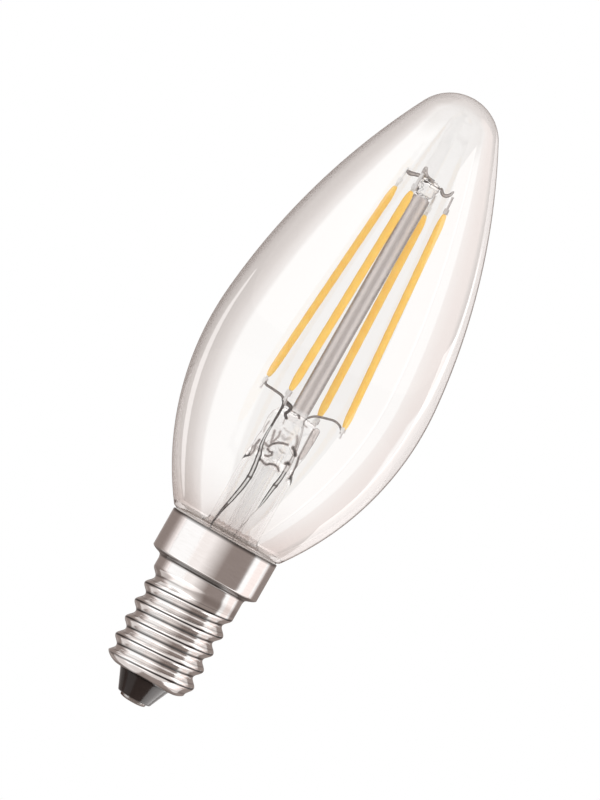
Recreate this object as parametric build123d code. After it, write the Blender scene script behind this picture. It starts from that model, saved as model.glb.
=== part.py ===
from build123d import *
from math import atan2, cos, degrees, radians, sin, sqrt
import os

# Clear candle bulb with LED filaments on a glass mount, and a small E14 screw cap.
# Millimetres. The origin is the middle of the end contact's face, and +Z runs up the axis to the glass tip.

# Glass envelope: three tangent arcs from the cap to the tip, and a neck inside the cap's collar
OVERALL_LENGTH = 99.7
BULB_DIAMETER = 35.0
BELLY_HEIGHT = 54.3
FLANK_ARC = 100.0
TIP_ARC = 7.0
GLASS_WALL = 0.6
NECK_WALL = 0.8
NECK_CLEARANCE = 0.8
SHOULDER_BEVEL = 0.3
SHOULDER_OVERHANG = 0.2

# Screw shell: rolled thread, plain neck and the wide collar that takes the glass
SHELL_WALL = 0.3
THREAD_MAJOR = 13.86
THREAD_MINOR = 12.1
THREAD_PITCH = 2.822
THREAD_TURNS = 4.5
THREAD_FADE_TURNS = 0.4
THREAD_LEAD_IN = 0.9
ROOT_FLAT = 0.55
CREST_FLAT = 0.55
RIM_RADIUS = 3.95
RIM_HEIGHT = 3.75
RIM_EDGE_RADIUS = 5.4
RIM_EDGE_RISE = 0.4
RIM_CONE_RISE = 1.65
PLAIN_NECK_HEIGHT = 2.07
COLLAR_RADIUS = 8.5
COLLAR_WALL = 0.25
COLLAR_SLOPE = 0.85
COLLAR_HEIGHT = 6.0
SEAT_GAP = 0.05

# Cement between the glass neck and the collar
CEMENT_THICKNESS = 0.55
CEMENT_DROP = 0.2

# End of the cap: black insulator and the end contact
INSULATOR_END_RADIUS = 2.62
INSULATOR_END_HEIGHT = 0.8
FLANGE_THICKNESS = 0.75
CONTACT_RADIUS = 2.0
CONTACT_FLAT_RADIUS = 1.4
CONTACT_EDGE = 0.25
CONTACT_THICKNESS = 0.45
SHANK_RADIUS = 0.9
SHANK_TOP = 3.0
SOLDER_DEPTH = 0.7

# Glass stem: flare, tube and press, with the exhaust tube and the rod that carries the filaments
MOUNT_OFFSET = 0.5
FLARE_BAND = 1.0
FLARE_HEIGHT = 7.2
TUBE_RADIUS = 4.0
TUBE_WALL = 0.7
TUBE_LENGTH = 9.1
TAPER_HEIGHT = 2.5
PRESS_RADIUS = 3.45
PRESS_HEIGHT = 6.6
PRESS_THICKNESS = 2.8
PRESS_BEVEL = 0.7
JAW_RISE = 1.2
JAW_LEAD_IN = 3.0
CAVITY_INSET = 0.2
CAVITY_RISE = 0.6
EXHAUST_RADIUS = 1.2
EXHAUST_WALL = 0.5
EXHAUST_DROP = 3.6
EXHAUST_HOLE_RADIUS = 0.5
EXHAUST_HOLE_RISE = 1.8
ROD_RADIUS = 1.35
ROD_SOCKET = 1.3
BUTTON_RISE = 0.2
BUTTON_HEIGHT = 3.3
BUTTON_RADIUS = 1.55
BUTTON_NECK = 1.2
BUTTON_BEVEL = 0.6

# LED filaments: four strips that lean in towards the top
FILAMENT_LENGTH = 33.2
FILAMENT_CLEARANCE = 2.4
FILAMENT_FOOT_RADIUS = 7.15
FILAMENT_HEAD_RADIUS = 4.4
LEFT_REAR_ANGLE = 157.5
LEFT_REAR_LIFT = 0.4
LEFT_FRONT_ANGLE = 247.5
LEFT_FRONT_LIFT = 0.5
RIGHT_REAR_ANGLE = 67.5
RIGHT_REAR_LIFT = -1.1
RIGHT_FRONT_ANGLE = 337.5
RIGHT_FRONT_LIFT = -0.3
COAT_WIDTH = 1.15
COAT_THICKNESS = 0.95
COAT_ROUND = 0.4
CARRIER_WIDTH = 0.5
CARRIER_THICKNESS = 0.25
CARRIER_PROUD = 0.9
CLASP_WIDTH = 0.75
CLASP_THICKNESS = 0.5
CLASP_LENGTH = 0.6
TAB_WIDTH = 0.45
TAB_THICKNESS = 0.2
UPPER_TAB_LENGTH = 1.9
LOWER_TAB_LENGTH = 0.9

# Wires of the mount
LEAD_RADIUS = 0.25
LEAD_SPREAD = 2.4
LEAD_CLEARANCE = 0.15
LEFT_LEAD_FLARE = 1.5
LEFT_WAIST_DROP = 2.5
LEFT_LEAD_RISE = 0.9
RIGHT_WAIST_DROP = 5.0
RIGHT_LEAD_RISE = 0.4
RIGHT_ARCH_RISE = 2.0
RIGHT_ARCH_SHARE = 0.6
TOP_WIRE_RADIUS = 0.27
TOP_WIRE_DEPTH = 0.7
TOP_WIRE_SPACING = 1.0
HOOK_RISE = 2.0
WELD_GAP = 0.03

# Driver in the cap
BOARD_WIDTH = 9.6
BOARD_HEIGHT = 11.0
BOARD_THICKNESS = 0.8
BOARD_FRONT = -0.1
BOARD_REST_GAP = 0.05
NOTCH_WIDTH = 3.4
NOTCH_HEIGHT = 1.7
PAD_INSET = 1.6
PAD_DEPTH = 1.3
CAPACITOR_RADIUS = 2.5
CAPACITOR_LENGTH = 7.6
CAPACITOR_X = 1.4
CAPACITOR_CLEARANCE = 0.8
CAPACITOR_BEVEL = 0.3
CAPACITOR_LEAD_RADIUS = 0.25
CAPACITOR_LEAD_PITCH = 2.0
CAPACITOR_LEAD_RISE = 0.9
BRIDGE_SIZE = (4.6, 1.5, 3.8)
BRIDGE_RISE = 3.55
BRIDGE_PINS = 2
CHIP_SIZE = (3.8, 1.3, 3.2)
CHIP_RISE = 7.75
CHIP_PINS = 4
PIN_WIDTH = 0.4
PIN_LENGTH = 0.6
PIN_THICKNESS = 0.2
FUSE_RADIUS = 0.9
FUSE_LENGTH = 4.2
FUSE_X = -3.2
FUSE_RISE = 3.35
FUSE_LEAD_RADIUS = 0.28
FUSE_LEAD_RISE = 1.0
FUSE_LEAD_DROP = 1.4
FUSE_TURN_RISE = 0.6
SHELL_WIRE_INSET = 0.6
SHELL_WIRE_RISE = 5.35

# Cap: places worked out from the sizes above
CREST_RADIUS = THREAD_MAJOR / 2
ROOT_RADIUS = THREAD_MINOR / 2
SHELL_BORE = ROOT_RADIUS - SHELL_WALL
PLAIN_BORE = CREST_RADIUS - SHELL_WALL
COLLAR_BORE = COLLAR_RADIUS - COLLAR_WALL
RIM_INSIDE = RIM_HEIGHT + SHELL_WALL
RIM_EDGE_HEIGHT = RIM_HEIGHT + RIM_EDGE_RISE
RIM_TOP = RIM_EDGE_HEIGHT + RIM_CONE_RISE
RIM_SLOPE = RIM_EDGE_RISE / (RIM_EDGE_RADIUS - RIM_RADIUS)
SHELL_FLOOR = RIM_INSIDE + RIM_SLOPE * (SHELL_BORE - RIM_RADIUS) + SHELL_WALL
INSULATOR_TOP = SHELL_FLOOR + FLANGE_THICKNESS
THREAD_START = RIM_HEIGHT + THREAD_LEAD_IN
PLAIN_NECK_BOTTOM = THREAD_START + THREAD_PITCH * (THREAD_TURNS + THREAD_FADE_TURNS)
COLLAR_SLOPE_BOTTOM = PLAIN_NECK_BOTTOM + PLAIN_NECK_HEIGHT
COLLAR_BOTTOM = COLLAR_SLOPE_BOTTOM + COLLAR_SLOPE
COLLAR_TOP = COLLAR_BOTTOM + COLLAR_HEIGHT

# Glass: the belly's arc is the one that meets the shoulder over the collar and the widest ring
NECK_RADIUS = COLLAR_BORE - CEMENT_THICKNESS
NECK_BORE = NECK_RADIUS - NECK_WALL
NECK_BOTTOM = COLLAR_BOTTOM + NECK_CLEARANCE
CEMENT_BOTTOM = NECK_BOTTOM - CEMENT_DROP
CEMENT_TOP = COLLAR_TOP - SEAT_GAP
LEDGE = COLLAR_TOP + SEAT_GAP
BELLY_RADIUS = BULB_DIAMETER / 2
BELLY_SWELL = BELLY_RADIUS - COLLAR_RADIUS - SHOULDER_OVERHANG
BELLY_RISE = BELLY_HEIGHT - LEDGE - SHOULDER_BEVEL
BELLY_ARC = (BELLY_SWELL**2 + BELLY_RISE**2) / (2 * BELLY_SWELL)

# Mount: each piece stands on the one below it
MOUNT = Pos(MOUNT_OFFSET, 0, 0)
FLARE_TOP = NECK_BOTTOM + FLARE_HEIGHT
TUBE_BORE = TUBE_RADIUS - TUBE_WALL
TUBE_TOP = FLARE_TOP + TUBE_LENGTH
PRESS_BOTTOM = TUBE_TOP + TAPER_HEIGHT
PRESS_TOP = PRESS_BOTTOM + PRESS_HEIGHT
JAW_BOTTOM = PRESS_BOTTOM + JAW_RISE
CAVITY_RADIUS = TUBE_BORE - MOUNT_OFFSET - CAVITY_INSET
CAVITY_TOP = PRESS_BOTTOM + CAVITY_RISE
EXHAUST_TIP = NECK_BOTTOM - EXHAUST_DROP
BESIDE_EXHAUST = EXHAUST_RADIUS + LEAD_RADIUS + LEAD_CLEARANCE
ROD_BOTTOM = PRESS_TOP - ROD_SOCKET
FILAMENT_BASE = PRESS_TOP + FILAMENT_CLEARANCE
FILAMENT_RISE = sqrt(FILAMENT_LENGTH**2 - (FILAMENT_FOOT_RADIUS - FILAMENT_HEAD_RADIUS) ** 2)
BUTTON_BOTTOM = FILAMENT_BASE + FILAMENT_RISE + BUTTON_RISE
BUTTON_TOP = BUTTON_BOTTOM + BUTTON_HEIGHT
OUTER_WIRE_HEIGHT = BUTTON_TOP - TOP_WIRE_DEPTH
INNER_WIRE_HEIGHT = OUTER_WIRE_HEIGHT - TOP_WIRE_SPACING
HOOK_TOP = OUTER_WIRE_HEIGHT + HOOK_RISE

# Driver: the board stands on the insulator
BOARD_BACK = BOARD_FRONT + BOARD_THICKNESS
BOARD_BOTTOM = INSULATOR_TOP + BOARD_REST_GAP
BOARD_TOP = BOARD_BOTTOM + BOARD_HEIGHT
PAD_X = BOARD_WIDTH / 2 - PAD_INSET

# Each filament's direction seen from above in degrees, and how far it sits above the mean height
FILAMENTS = {
    "left_rear": (LEFT_REAR_ANGLE, LEFT_REAR_LIFT),
    "left_front": (LEFT_FRONT_ANGLE, LEFT_FRONT_LIFT),
    "right_rear": (RIGHT_REAR_ANGLE, RIGHT_REAR_LIFT),
    "right_front": (RIGHT_FRONT_ANGLE, RIGHT_FRONT_LIFT),
}

# How boxes and cylinders are set on their starting point
UPWARD = (Align.CENTER, Align.CENTER, Align.MIN)
BACKWARD = (Align.CENTER, Align.MIN, Align.CENTER)


def at(r, z):
    """A point of a turned outline: distance from the axis and height."""
    return Vector(r, 0, z)


def turned(*edges):
    """The solid that a closed outline makes when it is turned about the axis."""
    return revolve(make_face(edges), Axis.Z)


def arc_about(centre, start, end):
    """The shorter arc between two points round a known centre."""
    middle = ((start - centre) + (end - centre)).normalized() * (start - centre).length
    return ThreePointArc(start, centre + middle, end)


def wire_along(points, radius):
    """A round wire along straight runs, mitred where it turns."""
    path = Polyline(*points)
    start = Plane(path @ 0, z_dir=path % 0)
    return sweep(start * Circle(radius), path=path, transition=Transition.RIGHT)


# Glass envelope

def belly_at_height(centre, radius, height):
    return at(centre.X + sqrt(radius**2 - (height - centre.Z) ** 2), height)


def envelope_arcs(inset, floor):
    """Belly, flank and tip arcs of the glass, set in by a wall, from a floor's height to the tip."""
    belly_centre = at(BELLY_RADIUS - BELLY_ARC, BELLY_HEIGHT)
    tip_centre = at(0, OVERALL_LENGTH - TIP_ARC)
    to_tip = tip_centre - belly_centre
    ahead = to_tip.normalized()
    belly_reach = FLANK_ARC - BELLY_ARC
    tip_reach = FLANK_ARC - TIP_ARC
    along = (belly_reach**2 - tip_reach**2 + to_tip.length**2) / (2 * to_tip.length)
    aside = sqrt(belly_reach**2 - along**2)
    flank_centre = belly_centre + ahead * along + Vector(-ahead.Z, 0, ahead.X) * aside
    flank_radius = FLANK_ARC - inset
    flank_start = flank_centre + (belly_centre - flank_centre).normalized() * flank_radius
    flank_end = flank_centre + (tip_centre - flank_centre).normalized() * flank_radius
    belly_start = belly_at_height(belly_centre, BELLY_ARC - inset, floor)
    tip = at(0, OVERALL_LENGTH - inset)
    arcs = [
        arc_about(belly_centre, belly_start, flank_start),
        arc_about(flank_centre, flank_start, flank_end),
        arc_about(tip_centre, flank_end, tip),
    ]
    return belly_start, arcs, tip


def envelope_body(inset, neck, floor):
    """Closed bulb shape with its neck; the glass is one of these less a smaller one."""
    belly_start, arcs, tip = envelope_arcs(inset, floor + SHOULDER_BEVEL)
    shoulder = at(belly_start.X - 2 * SHOULDER_BEVEL, floor)
    lower = Polyline(tip, at(0, NECK_BOTTOM), at(neck, NECK_BOTTOM), at(neck, floor), shoulder, belly_start)
    return turned(lower, *arcs)


def glass_envelope():
    """Blown bulb, open at the neck, with a shoulder that sits on the collar's rim."""
    outside = envelope_body(0, NECK_RADIUS, LEDGE)
    inside = envelope_body(GLASS_WALL, NECK_BORE, LEDGE + NECK_WALL)
    return outside - inside


# Cap

def shell_blank():
    """The shell before its thread is rolled: rim, plain barrel, sloped shoulder and collar."""
    outline = Polyline(
        at(RIM_RADIUS, RIM_HEIGHT),
        at(RIM_EDGE_RADIUS, RIM_EDGE_HEIGHT),
        at(CREST_RADIUS, RIM_TOP),
        at(CREST_RADIUS, COLLAR_SLOPE_BOTTOM),
        at(COLLAR_RADIUS, COLLAR_BOTTOM),
        at(COLLAR_RADIUS, COLLAR_TOP),
        at(COLLAR_BORE, COLLAR_TOP),
        at(COLLAR_BORE, COLLAR_BOTTOM + SHELL_WALL / 2),
        at(PLAIN_BORE, COLLAR_SLOPE_BOTTOM + SHELL_WALL / 2),
        at(PLAIN_BORE, PLAIN_NECK_BOTTOM + CREST_RADIUS - ROOT_RADIUS),
        at(SHELL_BORE, PLAIN_NECK_BOTTOM),
        at(SHELL_BORE, SHELL_FLOOR),
        at(RIM_RADIUS, RIM_INSIDE),
        close=True,
    )
    return turned(outline)


def groove_along(path):
    """The thread's groove along a screw line: a flat root and two flanks that open out past the crest."""
    depth = CREST_RADIUS - ROOT_RADIUS
    flank = (THREAD_PITCH - CREST_FLAT - ROOT_FLAT) / 2 / depth
    reach = depth + SHELL_WALL / 2
    mouth = ROOT_FLAT / 2 + flank * reach
    corners = [(0, -ROOT_FLAT / 2), (reach, -mouth), (reach, mouth), (0, ROOT_FLAT / 2)]
    outward = Vector(ROOT_RADIUS, 0, 0)
    upright = Plane(outward, x_dir=outward, z_dir=(0, 1, 0))
    section = make_face(Polyline(*corners, close=True))
    return sweep(upright * section, path=path, is_frenet=True)


def screw_shell():
    """Plated shell with its right-hand rolled thread, which runs out into the plain neck."""
    thread = Helix(THREAD_PITCH, THREAD_PITCH * THREAD_TURNS, ROOT_RADIUS)
    fade_rise = THREAD_PITCH * THREAD_FADE_TURNS
    fade_lean = degrees(atan2(CREST_RADIUS - ROOT_RADIUS, fade_rise))
    fade = Helix(THREAD_PITCH, fade_rise, ROOT_RADIUS, cone_angle=fade_lean)
    fade_place = Pos(0, 0, THREAD_PITCH * THREAD_TURNS) * Rot(0, 0, 360 * THREAD_TURNS)
    grooves = [groove_along(thread), fade_place * groove_along(fade)]
    return shell_blank() - [Pos(0, 0, THREAD_START) * groove for groove in grooves]


def cement_ring():
    """Cement that fills the space between the glass neck and the collar."""
    outline = Polyline(
        at(NECK_RADIUS, CEMENT_BOTTOM),
        at(COLLAR_BORE, CEMENT_BOTTOM),
        at(COLLAR_BORE, CEMENT_TOP),
        at(NECK_RADIUS, CEMENT_TOP),
        close=True,
    )
    return turned(outline)


def base_insulator():
    """Black cone at the cap's end: its waist holds the shell's rim, its flange lies on the shell's floor."""
    outline = Polyline(
        at(SHANK_RADIUS, CONTACT_THICKNESS),
        at(CONTACT_RADIUS, CONTACT_THICKNESS),
        at(INSULATOR_END_RADIUS, INSULATOR_END_HEIGHT),
        at(RIM_RADIUS, RIM_HEIGHT),
        at(RIM_RADIUS, RIM_INSIDE),
        at(SHELL_BORE, SHELL_FLOOR),
        at(SHELL_BORE, INSULATOR_TOP),
        at(SHANK_RADIUS, INSULATOR_TOP),
        close=True,
    )
    return turned(outline)


def centre_contact():
    """End contact: a bevelled disc with a shank that takes the driver's wire in solder."""
    outline = Polyline(
        at(CONTACT_RADIUS, CONTACT_EDGE),
        at(CONTACT_RADIUS, CONTACT_THICKNESS),
        at(SHANK_RADIUS, CONTACT_THICKNESS),
        at(SHANK_RADIUS, SHANK_TOP),
        at(FUSE_LEAD_RADIUS, SHANK_TOP),
        at(FUSE_LEAD_RADIUS, SOLDER_DEPTH),
        at(0, SOLDER_DEPTH),
        at(0, 0),
        at(CONTACT_FLAT_RADIUS, 0),
        close=True,
    )
    return turned(outline)


# Glass mount

def stem_flare(sealed_in):
    """Flare, tube and flattened press in one glass piece, with the wires and the rod sealed in."""
    rim_bore = NECK_BORE - TUBE_WALL
    band_top = at(NECK_BORE, NECK_BOTTOM + FLARE_BAND)
    rim = Polyline(at(rim_bore, NECK_BOTTOM), at(NECK_BORE, NECK_BOTTOM), band_top)
    tube = Polyline(
        at(TUBE_RADIUS, FLARE_TOP),
        at(TUBE_RADIUS, TUBE_TOP),
        at(TUBE_BORE, TUBE_TOP),
        at(TUBE_BORE, FLARE_TOP),
    )
    bell = TangentArc(at(TUBE_RADIUS, FLARE_TOP), band_top, tangent=(0, 0, -1))
    bell_inside = TangentArc(at(TUBE_BORE, FLARE_TOP), at(rim_bore, NECK_BOTTOM), tangent=(0, 0, -1))
    flare = turned(rim, bell, tube, bell_inside)
    tube_end = Pos(0, 0, TUBE_TOP)
    press_end = MOUNT * Pos(0, 0, PRESS_BOTTOM)
    cavity_end = MOUNT * Pos(0, 0, CAVITY_TOP)
    taper = loft([tube_end * Circle(TUBE_RADIUS), press_end * Circle(PRESS_RADIUS)], ruled=True)
    press = press_end * Cylinder(PRESS_RADIUS, PRESS_TOP - PRESS_BOTTOM, align=UPWARD)
    press = chamfer(press.edges().group_by(Axis.Z)[-1], PRESS_BEVEL)
    cavity = MOUNT * tube_end * Cone(CAVITY_RADIUS, EXHAUST_RADIUS, CAVITY_TOP - TUBE_TOP, align=UPWARD)
    hole = cavity_end * Cylinder(EXHAUST_HOLE_RADIUS, EXHAUST_HOLE_RISE, align=UPWARD)
    hole_end = cavity_end * Pos(0, 0, EXHAUST_HOLE_RISE)
    side_hole = hole_end * Rot(90, 0, 0) * Cylinder(EXHAUST_HOLE_RADIUS, PRESS_THICKNESS, align=UPWARD)
    return flare + taper + press - press_jaws() - cavity - hole - side_hole - sealed_in


def press_jaws():
    """The two tools that squeeze the hot tube flat, each with a sloped lead-in below."""
    far = TUBE_RADIUS + TUBE_WALL
    near = PRESS_THICKNESS / 2
    section = Polyline(
        (near, JAW_BOTTOM),
        (far, JAW_BOTTOM - JAW_LEAD_IN),
        (far, PRESS_TOP),
        (near, PRESS_TOP),
        close=True,
    )
    jaw = extrude(Plane.YZ * make_face(section), far, both=True)
    return [jaw, mirror(jaw, Plane.XZ)]


def exhaust_tube():
    """Thin tube from the press down into the cap, melted shut at its lower end."""
    bore = EXHAUST_RADIUS - EXHAUST_WALL
    shut = EXHAUST_TIP + EXHAUST_RADIUS
    outline = Polyline(
        at(0, EXHAUST_TIP),
        at(EXHAUST_WALL, EXHAUST_TIP),
        at(EXHAUST_RADIUS, shut),
        at(EXHAUST_RADIUS, CAVITY_TOP),
        at(bore, CAVITY_TOP),
        at(bore, shut),
        at(0, shut),
        close=True,
    )
    return MOUNT * turned(outline)


def support_rod(sealed_in):
    """Glass rod from the press, with the rounded button that holds the top wires."""
    outline = Polyline(
        at(0, ROD_BOTTOM),
        at(ROD_RADIUS, ROD_BOTTOM),
        at(ROD_RADIUS, BUTTON_BOTTOM - BUTTON_BEVEL),
        at(BUTTON_NECK, BUTTON_BOTTOM),
        at(BUTTON_RADIUS, BUTTON_BOTTOM + BUTTON_BEVEL),
        at(BUTTON_RADIUS, BUTTON_TOP - BUTTON_BEVEL),
        at(BUTTON_NECK, BUTTON_TOP),
        at(0, BUTTON_TOP),
        close=True,
    )
    return MOUNT * turned(outline) - sealed_in


# Filaments

def outward_of(name):
    angle = radians(FILAMENTS[name][0])
    return Vector(cos(angle), sin(angle), 0)


def from_rod(name, reach, height):
    """A point beside the rod, in the direction of one filament."""
    return Vector(MOUNT_OFFSET, 0, height) + outward_of(name) * reach


def filament_place(name):
    """Frame at a filament's foot: X across its width, Y through its thickness and Z up its length."""
    out = outward_of(name)
    lift = FILAMENTS[name][1]
    foot = from_rod(name, FILAMENT_FOOT_RADIUS, FILAMENT_BASE + lift)
    head = from_rod(name, FILAMENT_HEAD_RADIUS, FILAMENT_BASE + lift + FILAMENT_RISE)
    return Plane(foot, x_dir=Vector(-out.Y, out.X, 0), z_dir=head - foot)


def tab_face(name, height):
    """Where a wire's end stops at the inner face of a filament's tab."""
    foot = FILAMENT_BASE + FILAMENTS[name][1]
    lean = (FILAMENT_FOOT_RADIUS - FILAMENT_HEAD_RADIUS) / FILAMENT_RISE
    middle = FILAMENT_FOOT_RADIUS - lean * (height - foot)
    return from_rod(name, middle - TAB_THICKNESS / 2 - WELD_GAP, height)


def carrier(name):
    """Narrow strip that carries the filament's lights, a little longer than the coat."""
    length = FILAMENT_LENGTH + 2 * CARRIER_PROUD
    strip = Pos(0, 0, -CARRIER_PROUD) * Box(CARRIER_WIDTH, CARRIER_THICKNESS, length, align=UPWARD)
    return filament_place(name) * strip


def phosphor(name):
    """Yellow coat round the carrier."""
    section = RectangleRounded(COAT_WIDTH, COAT_THICKNESS, COAT_ROUND)
    return filament_place(name) * extrude(section, FILAMENT_LENGTH) - carrier(name)


def tab(name, length, end):
    """Metal end of a filament: a clasp round the carrier's end, and a flat strip for the weld."""
    clasp_start = CARRIER_PROUD - CLASP_LENGTH
    clasp_length = CLASP_LENGTH + TAB_THICKNESS
    clasp = Pos(0, 0, clasp_start) * Box(CLASP_WIDTH, CLASP_THICKNESS, clasp_length, align=UPWARD)
    strip_start = clasp_start + clasp_length
    strip = Pos(0, 0, strip_start) * Box(TAB_WIDTH, TAB_THICKNESS, length, align=UPWARD)
    piece = clasp + strip
    ends = {"upper": Pos(0, 0, FILAMENT_LENGTH), "lower": Rot(180, 0, 0)}
    return filament_place(name) * ends[end] * piece - carrier(name)


# Wires of the mount

def top_wire_outer():
    """Wire through the button: level to the left rear filament, dipped to the right front one."""
    left, right = "left_rear", "right_front"
    dip = OUTER_WIRE_HEIGHT - 2 * TOP_WIRE_RADIUS
    points = [
        tab_face(left, OUTER_WIRE_HEIGHT - TOP_WIRE_RADIUS),
        from_rod(left, BUTTON_RADIUS, OUTER_WIRE_HEIGHT),
        from_rod(right, BUTTON_RADIUS + TOP_WIRE_RADIUS, OUTER_WIRE_HEIGHT),
        from_rod(right, 2 * BUTTON_RADIUS, dip),
        tab_face(right, dip),
    ]
    return wire_along(points, TOP_WIRE_RADIUS)


def top_wire_inner():
    """Wire through the button below the other: a hook up beside the left front filament's tab."""
    left, right = "left_front", "right_rear"
    beside_tab = tab_face(left, OUTER_WIRE_HEIGHT) - outward_of(left) * TOP_WIRE_RADIUS
    points = [
        Vector(beside_tab.X, beside_tab.Y, HOOK_TOP),
        beside_tab,
        from_rod(left, BUTTON_RADIUS + TOP_WIRE_RADIUS, INNER_WIRE_HEIGHT),
        from_rod(right, BUTTON_RADIUS + TOP_WIRE_RADIUS, INNER_WIRE_HEIGHT),
        tab_face(right, INNER_WIRE_HEIGHT - TOP_WIRE_RADIUS),
    ]
    return wire_along(points, TOP_WIRE_RADIUS)


def lower_weld(name):
    """Where a feed wire meets a filament's lower tab, halfway down its strip."""
    drop = CARRIER_PROUD + TAB_THICKNESS + LOWER_TAB_LENGTH / 2
    return tab_face(name, FILAMENT_BASE + FILAMENTS[name][1] - drop)


def board_pad(side):
    """Axis of a feed wire where it lies on the board's back."""
    return side * PAD_X, BOARD_BACK + LEAD_RADIUS + WELD_GAP


def lead_wire_left():
    """Feed wire from the board, up through the press and out to the left rear filament."""
    x, y = board_pad(-1)
    waist_x = MOUNT_OFFSET - BESIDE_EXHAUST
    press_x = MOUNT_OFFSET - LEAD_SPREAD
    points = [
        (x, y, BOARD_TOP - PAD_DEPTH),
        (x, y, BOARD_TOP + PAD_DEPTH),
        (waist_x - LEFT_LEAD_FLARE, 0, FLARE_TOP),
        (waist_x, 0, TUBE_TOP - LEFT_WAIST_DROP),
        (press_x, 0, TUBE_TOP - LEAD_RADIUS),
        (press_x, 0, PRESS_TOP + LEFT_LEAD_RISE),
        lower_weld("left_rear"),
    ]
    return wire_along(points, LEAD_RADIUS)


def lead_wire_right():
    """Feed wire from the board, up through the press and over an arch to the right front filament."""
    x, y = board_pad(1)
    waist_x = MOUNT_OFFSET + BESIDE_EXHAUST
    press_x = MOUNT_OFFSET + LEAD_SPREAD
    way_out = Vector(press_x, 0, PRESS_TOP + RIGHT_LEAD_RISE)
    weld = lower_weld("right_front")
    arch = way_out + (weld - way_out) * RIGHT_ARCH_SHARE
    points = [
        (x, y, BOARD_TOP - PAD_DEPTH),
        (x, y, BOARD_TOP + PAD_DEPTH),
        (waist_x, 0, FLARE_TOP),
        (waist_x, 0, TUBE_TOP - RIGHT_WAIST_DROP),
        (press_x, 0, TUBE_TOP - LEAD_RADIUS),
        way_out,
        (arch.X, arch.Y, PRESS_TOP + RIGHT_ARCH_RISE),
        weld,
    ]
    return wire_along(points, LEAD_RADIUS)


def lead_branch(side, name):
    """Short wire welded to a feed wire just above the press, out to an inner filament."""
    root = Vector(MOUNT_OFFSET + side * LEAD_SPREAD, 0, PRESS_TOP + 2 * LEAD_RADIUS)
    end = lower_weld(name)
    start = root + (end - root).normalized() * (LEAD_RADIUS + WELD_GAP)
    return wire_along([start, end], LEAD_RADIUS)


# Driver in the cap

def driver_board():
    """Upright board on the insulator, with a notch at its foot for the contact's wire."""
    place = Pos(0, BOARD_FRONT, BOARD_BOTTOM)
    align = (Align.CENTER, Align.MIN, Align.MIN)
    board = Box(BOARD_WIDTH, BOARD_THICKNESS, BOARD_HEIGHT, align=align)
    notch = Box(NOTCH_WIDTH, BOARD_THICKNESS, NOTCH_HEIGHT, align=align)
    return place * (board - notch)


def chip(size, rise, pins):
    """Moulded body on the board's back with flat pins at both sides."""
    width, depth, tall = size
    body = Box(width, depth, tall, align=BACKWARD)
    pitch = tall / pins
    reach = width + 2 * PIN_LENGTH
    for row in range(pins):
        place = Pos(0, 0, (row - (pins - 1) / 2) * pitch)
        body += place * Box(reach, PIN_THICKNESS, PIN_WIDTH, align=BACKWARD)
    return Pos(0, BOARD_BACK, BOARD_BOTTOM + rise) * body


def smoothing_capacitor():
    """Round can in front of the board, with two leads bent over to it."""
    y = BOARD_FRONT - BOARD_REST_GAP - CAPACITOR_RADIUS
    bottom = INSULATOR_TOP + CAPACITOR_CLEARANCE
    can = Cylinder(CAPACITOR_RADIUS, CAPACITOR_LENGTH, align=UPWARD)
    can = Pos(CAPACITOR_X, y, bottom) * chamfer(can.edges().filter_by(GeomType.CIRCLE), CAPACITOR_BEVEL)
    top = bottom + CAPACITOR_LENGTH
    bend_height = top + CAPACITOR_LEAD_RISE
    for side in (-1, 1):
        x = CAPACITOR_X + side * CAPACITOR_LEAD_PITCH / 2
        points = [(x, y, top), (x, y, bend_height), (x, BOARD_FRONT, bend_height)]
        can += wire_along(points, CAPACITOR_LEAD_RADIUS)
    return can


def fuse_resistor():
    """Fusible resistor in front of the board: one lead to the board, one down to the end contact."""
    y = BOARD_FRONT - BOARD_REST_GAP - FUSE_RADIUS
    bottom = BOARD_BOTTOM + FUSE_RISE
    top = bottom + FUSE_LENGTH
    body = Pos(FUSE_X, y, bottom) * Cylinder(FUSE_RADIUS, FUSE_LENGTH, align=UPWARD)
    upper = [(FUSE_X, y, top), (FUSE_X, y, top + FUSE_LEAD_RISE), (FUSE_X, BOARD_FRONT, top + FUSE_LEAD_RISE)]
    lower = [
        (FUSE_X, y, bottom),
        (FUSE_X, y, bottom - FUSE_LEAD_DROP),
        (0, 0, INSULATOR_TOP + FUSE_TURN_RISE),
        (0, 0, SOLDER_DEPTH),
    ]
    for points in (upper, lower):
        body += wire_along(points, FUSE_LEAD_RADIUS)
    return body


def shell_wire():
    """Wire up from the board's back, then square out to a weld inside the shell's plain neck."""
    x = BOARD_WIDTH / 2 - SHELL_WIRE_INSET
    y = BOARD_BACK + LEAD_RADIUS + WELD_GAP
    height = COLLAR_SLOPE_BOTTOM - 2 * LEAD_RADIUS
    out = Vector(x, y, 0).normalized() * (PLAIN_BORE - WELD_GAP)
    points = [(x, y, BOARD_BOTTOM + SHELL_WIRE_RISE), (x, y, height), (out.X, out.Y, height)]
    return wire_along(points, LEAD_RADIUS)


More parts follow.
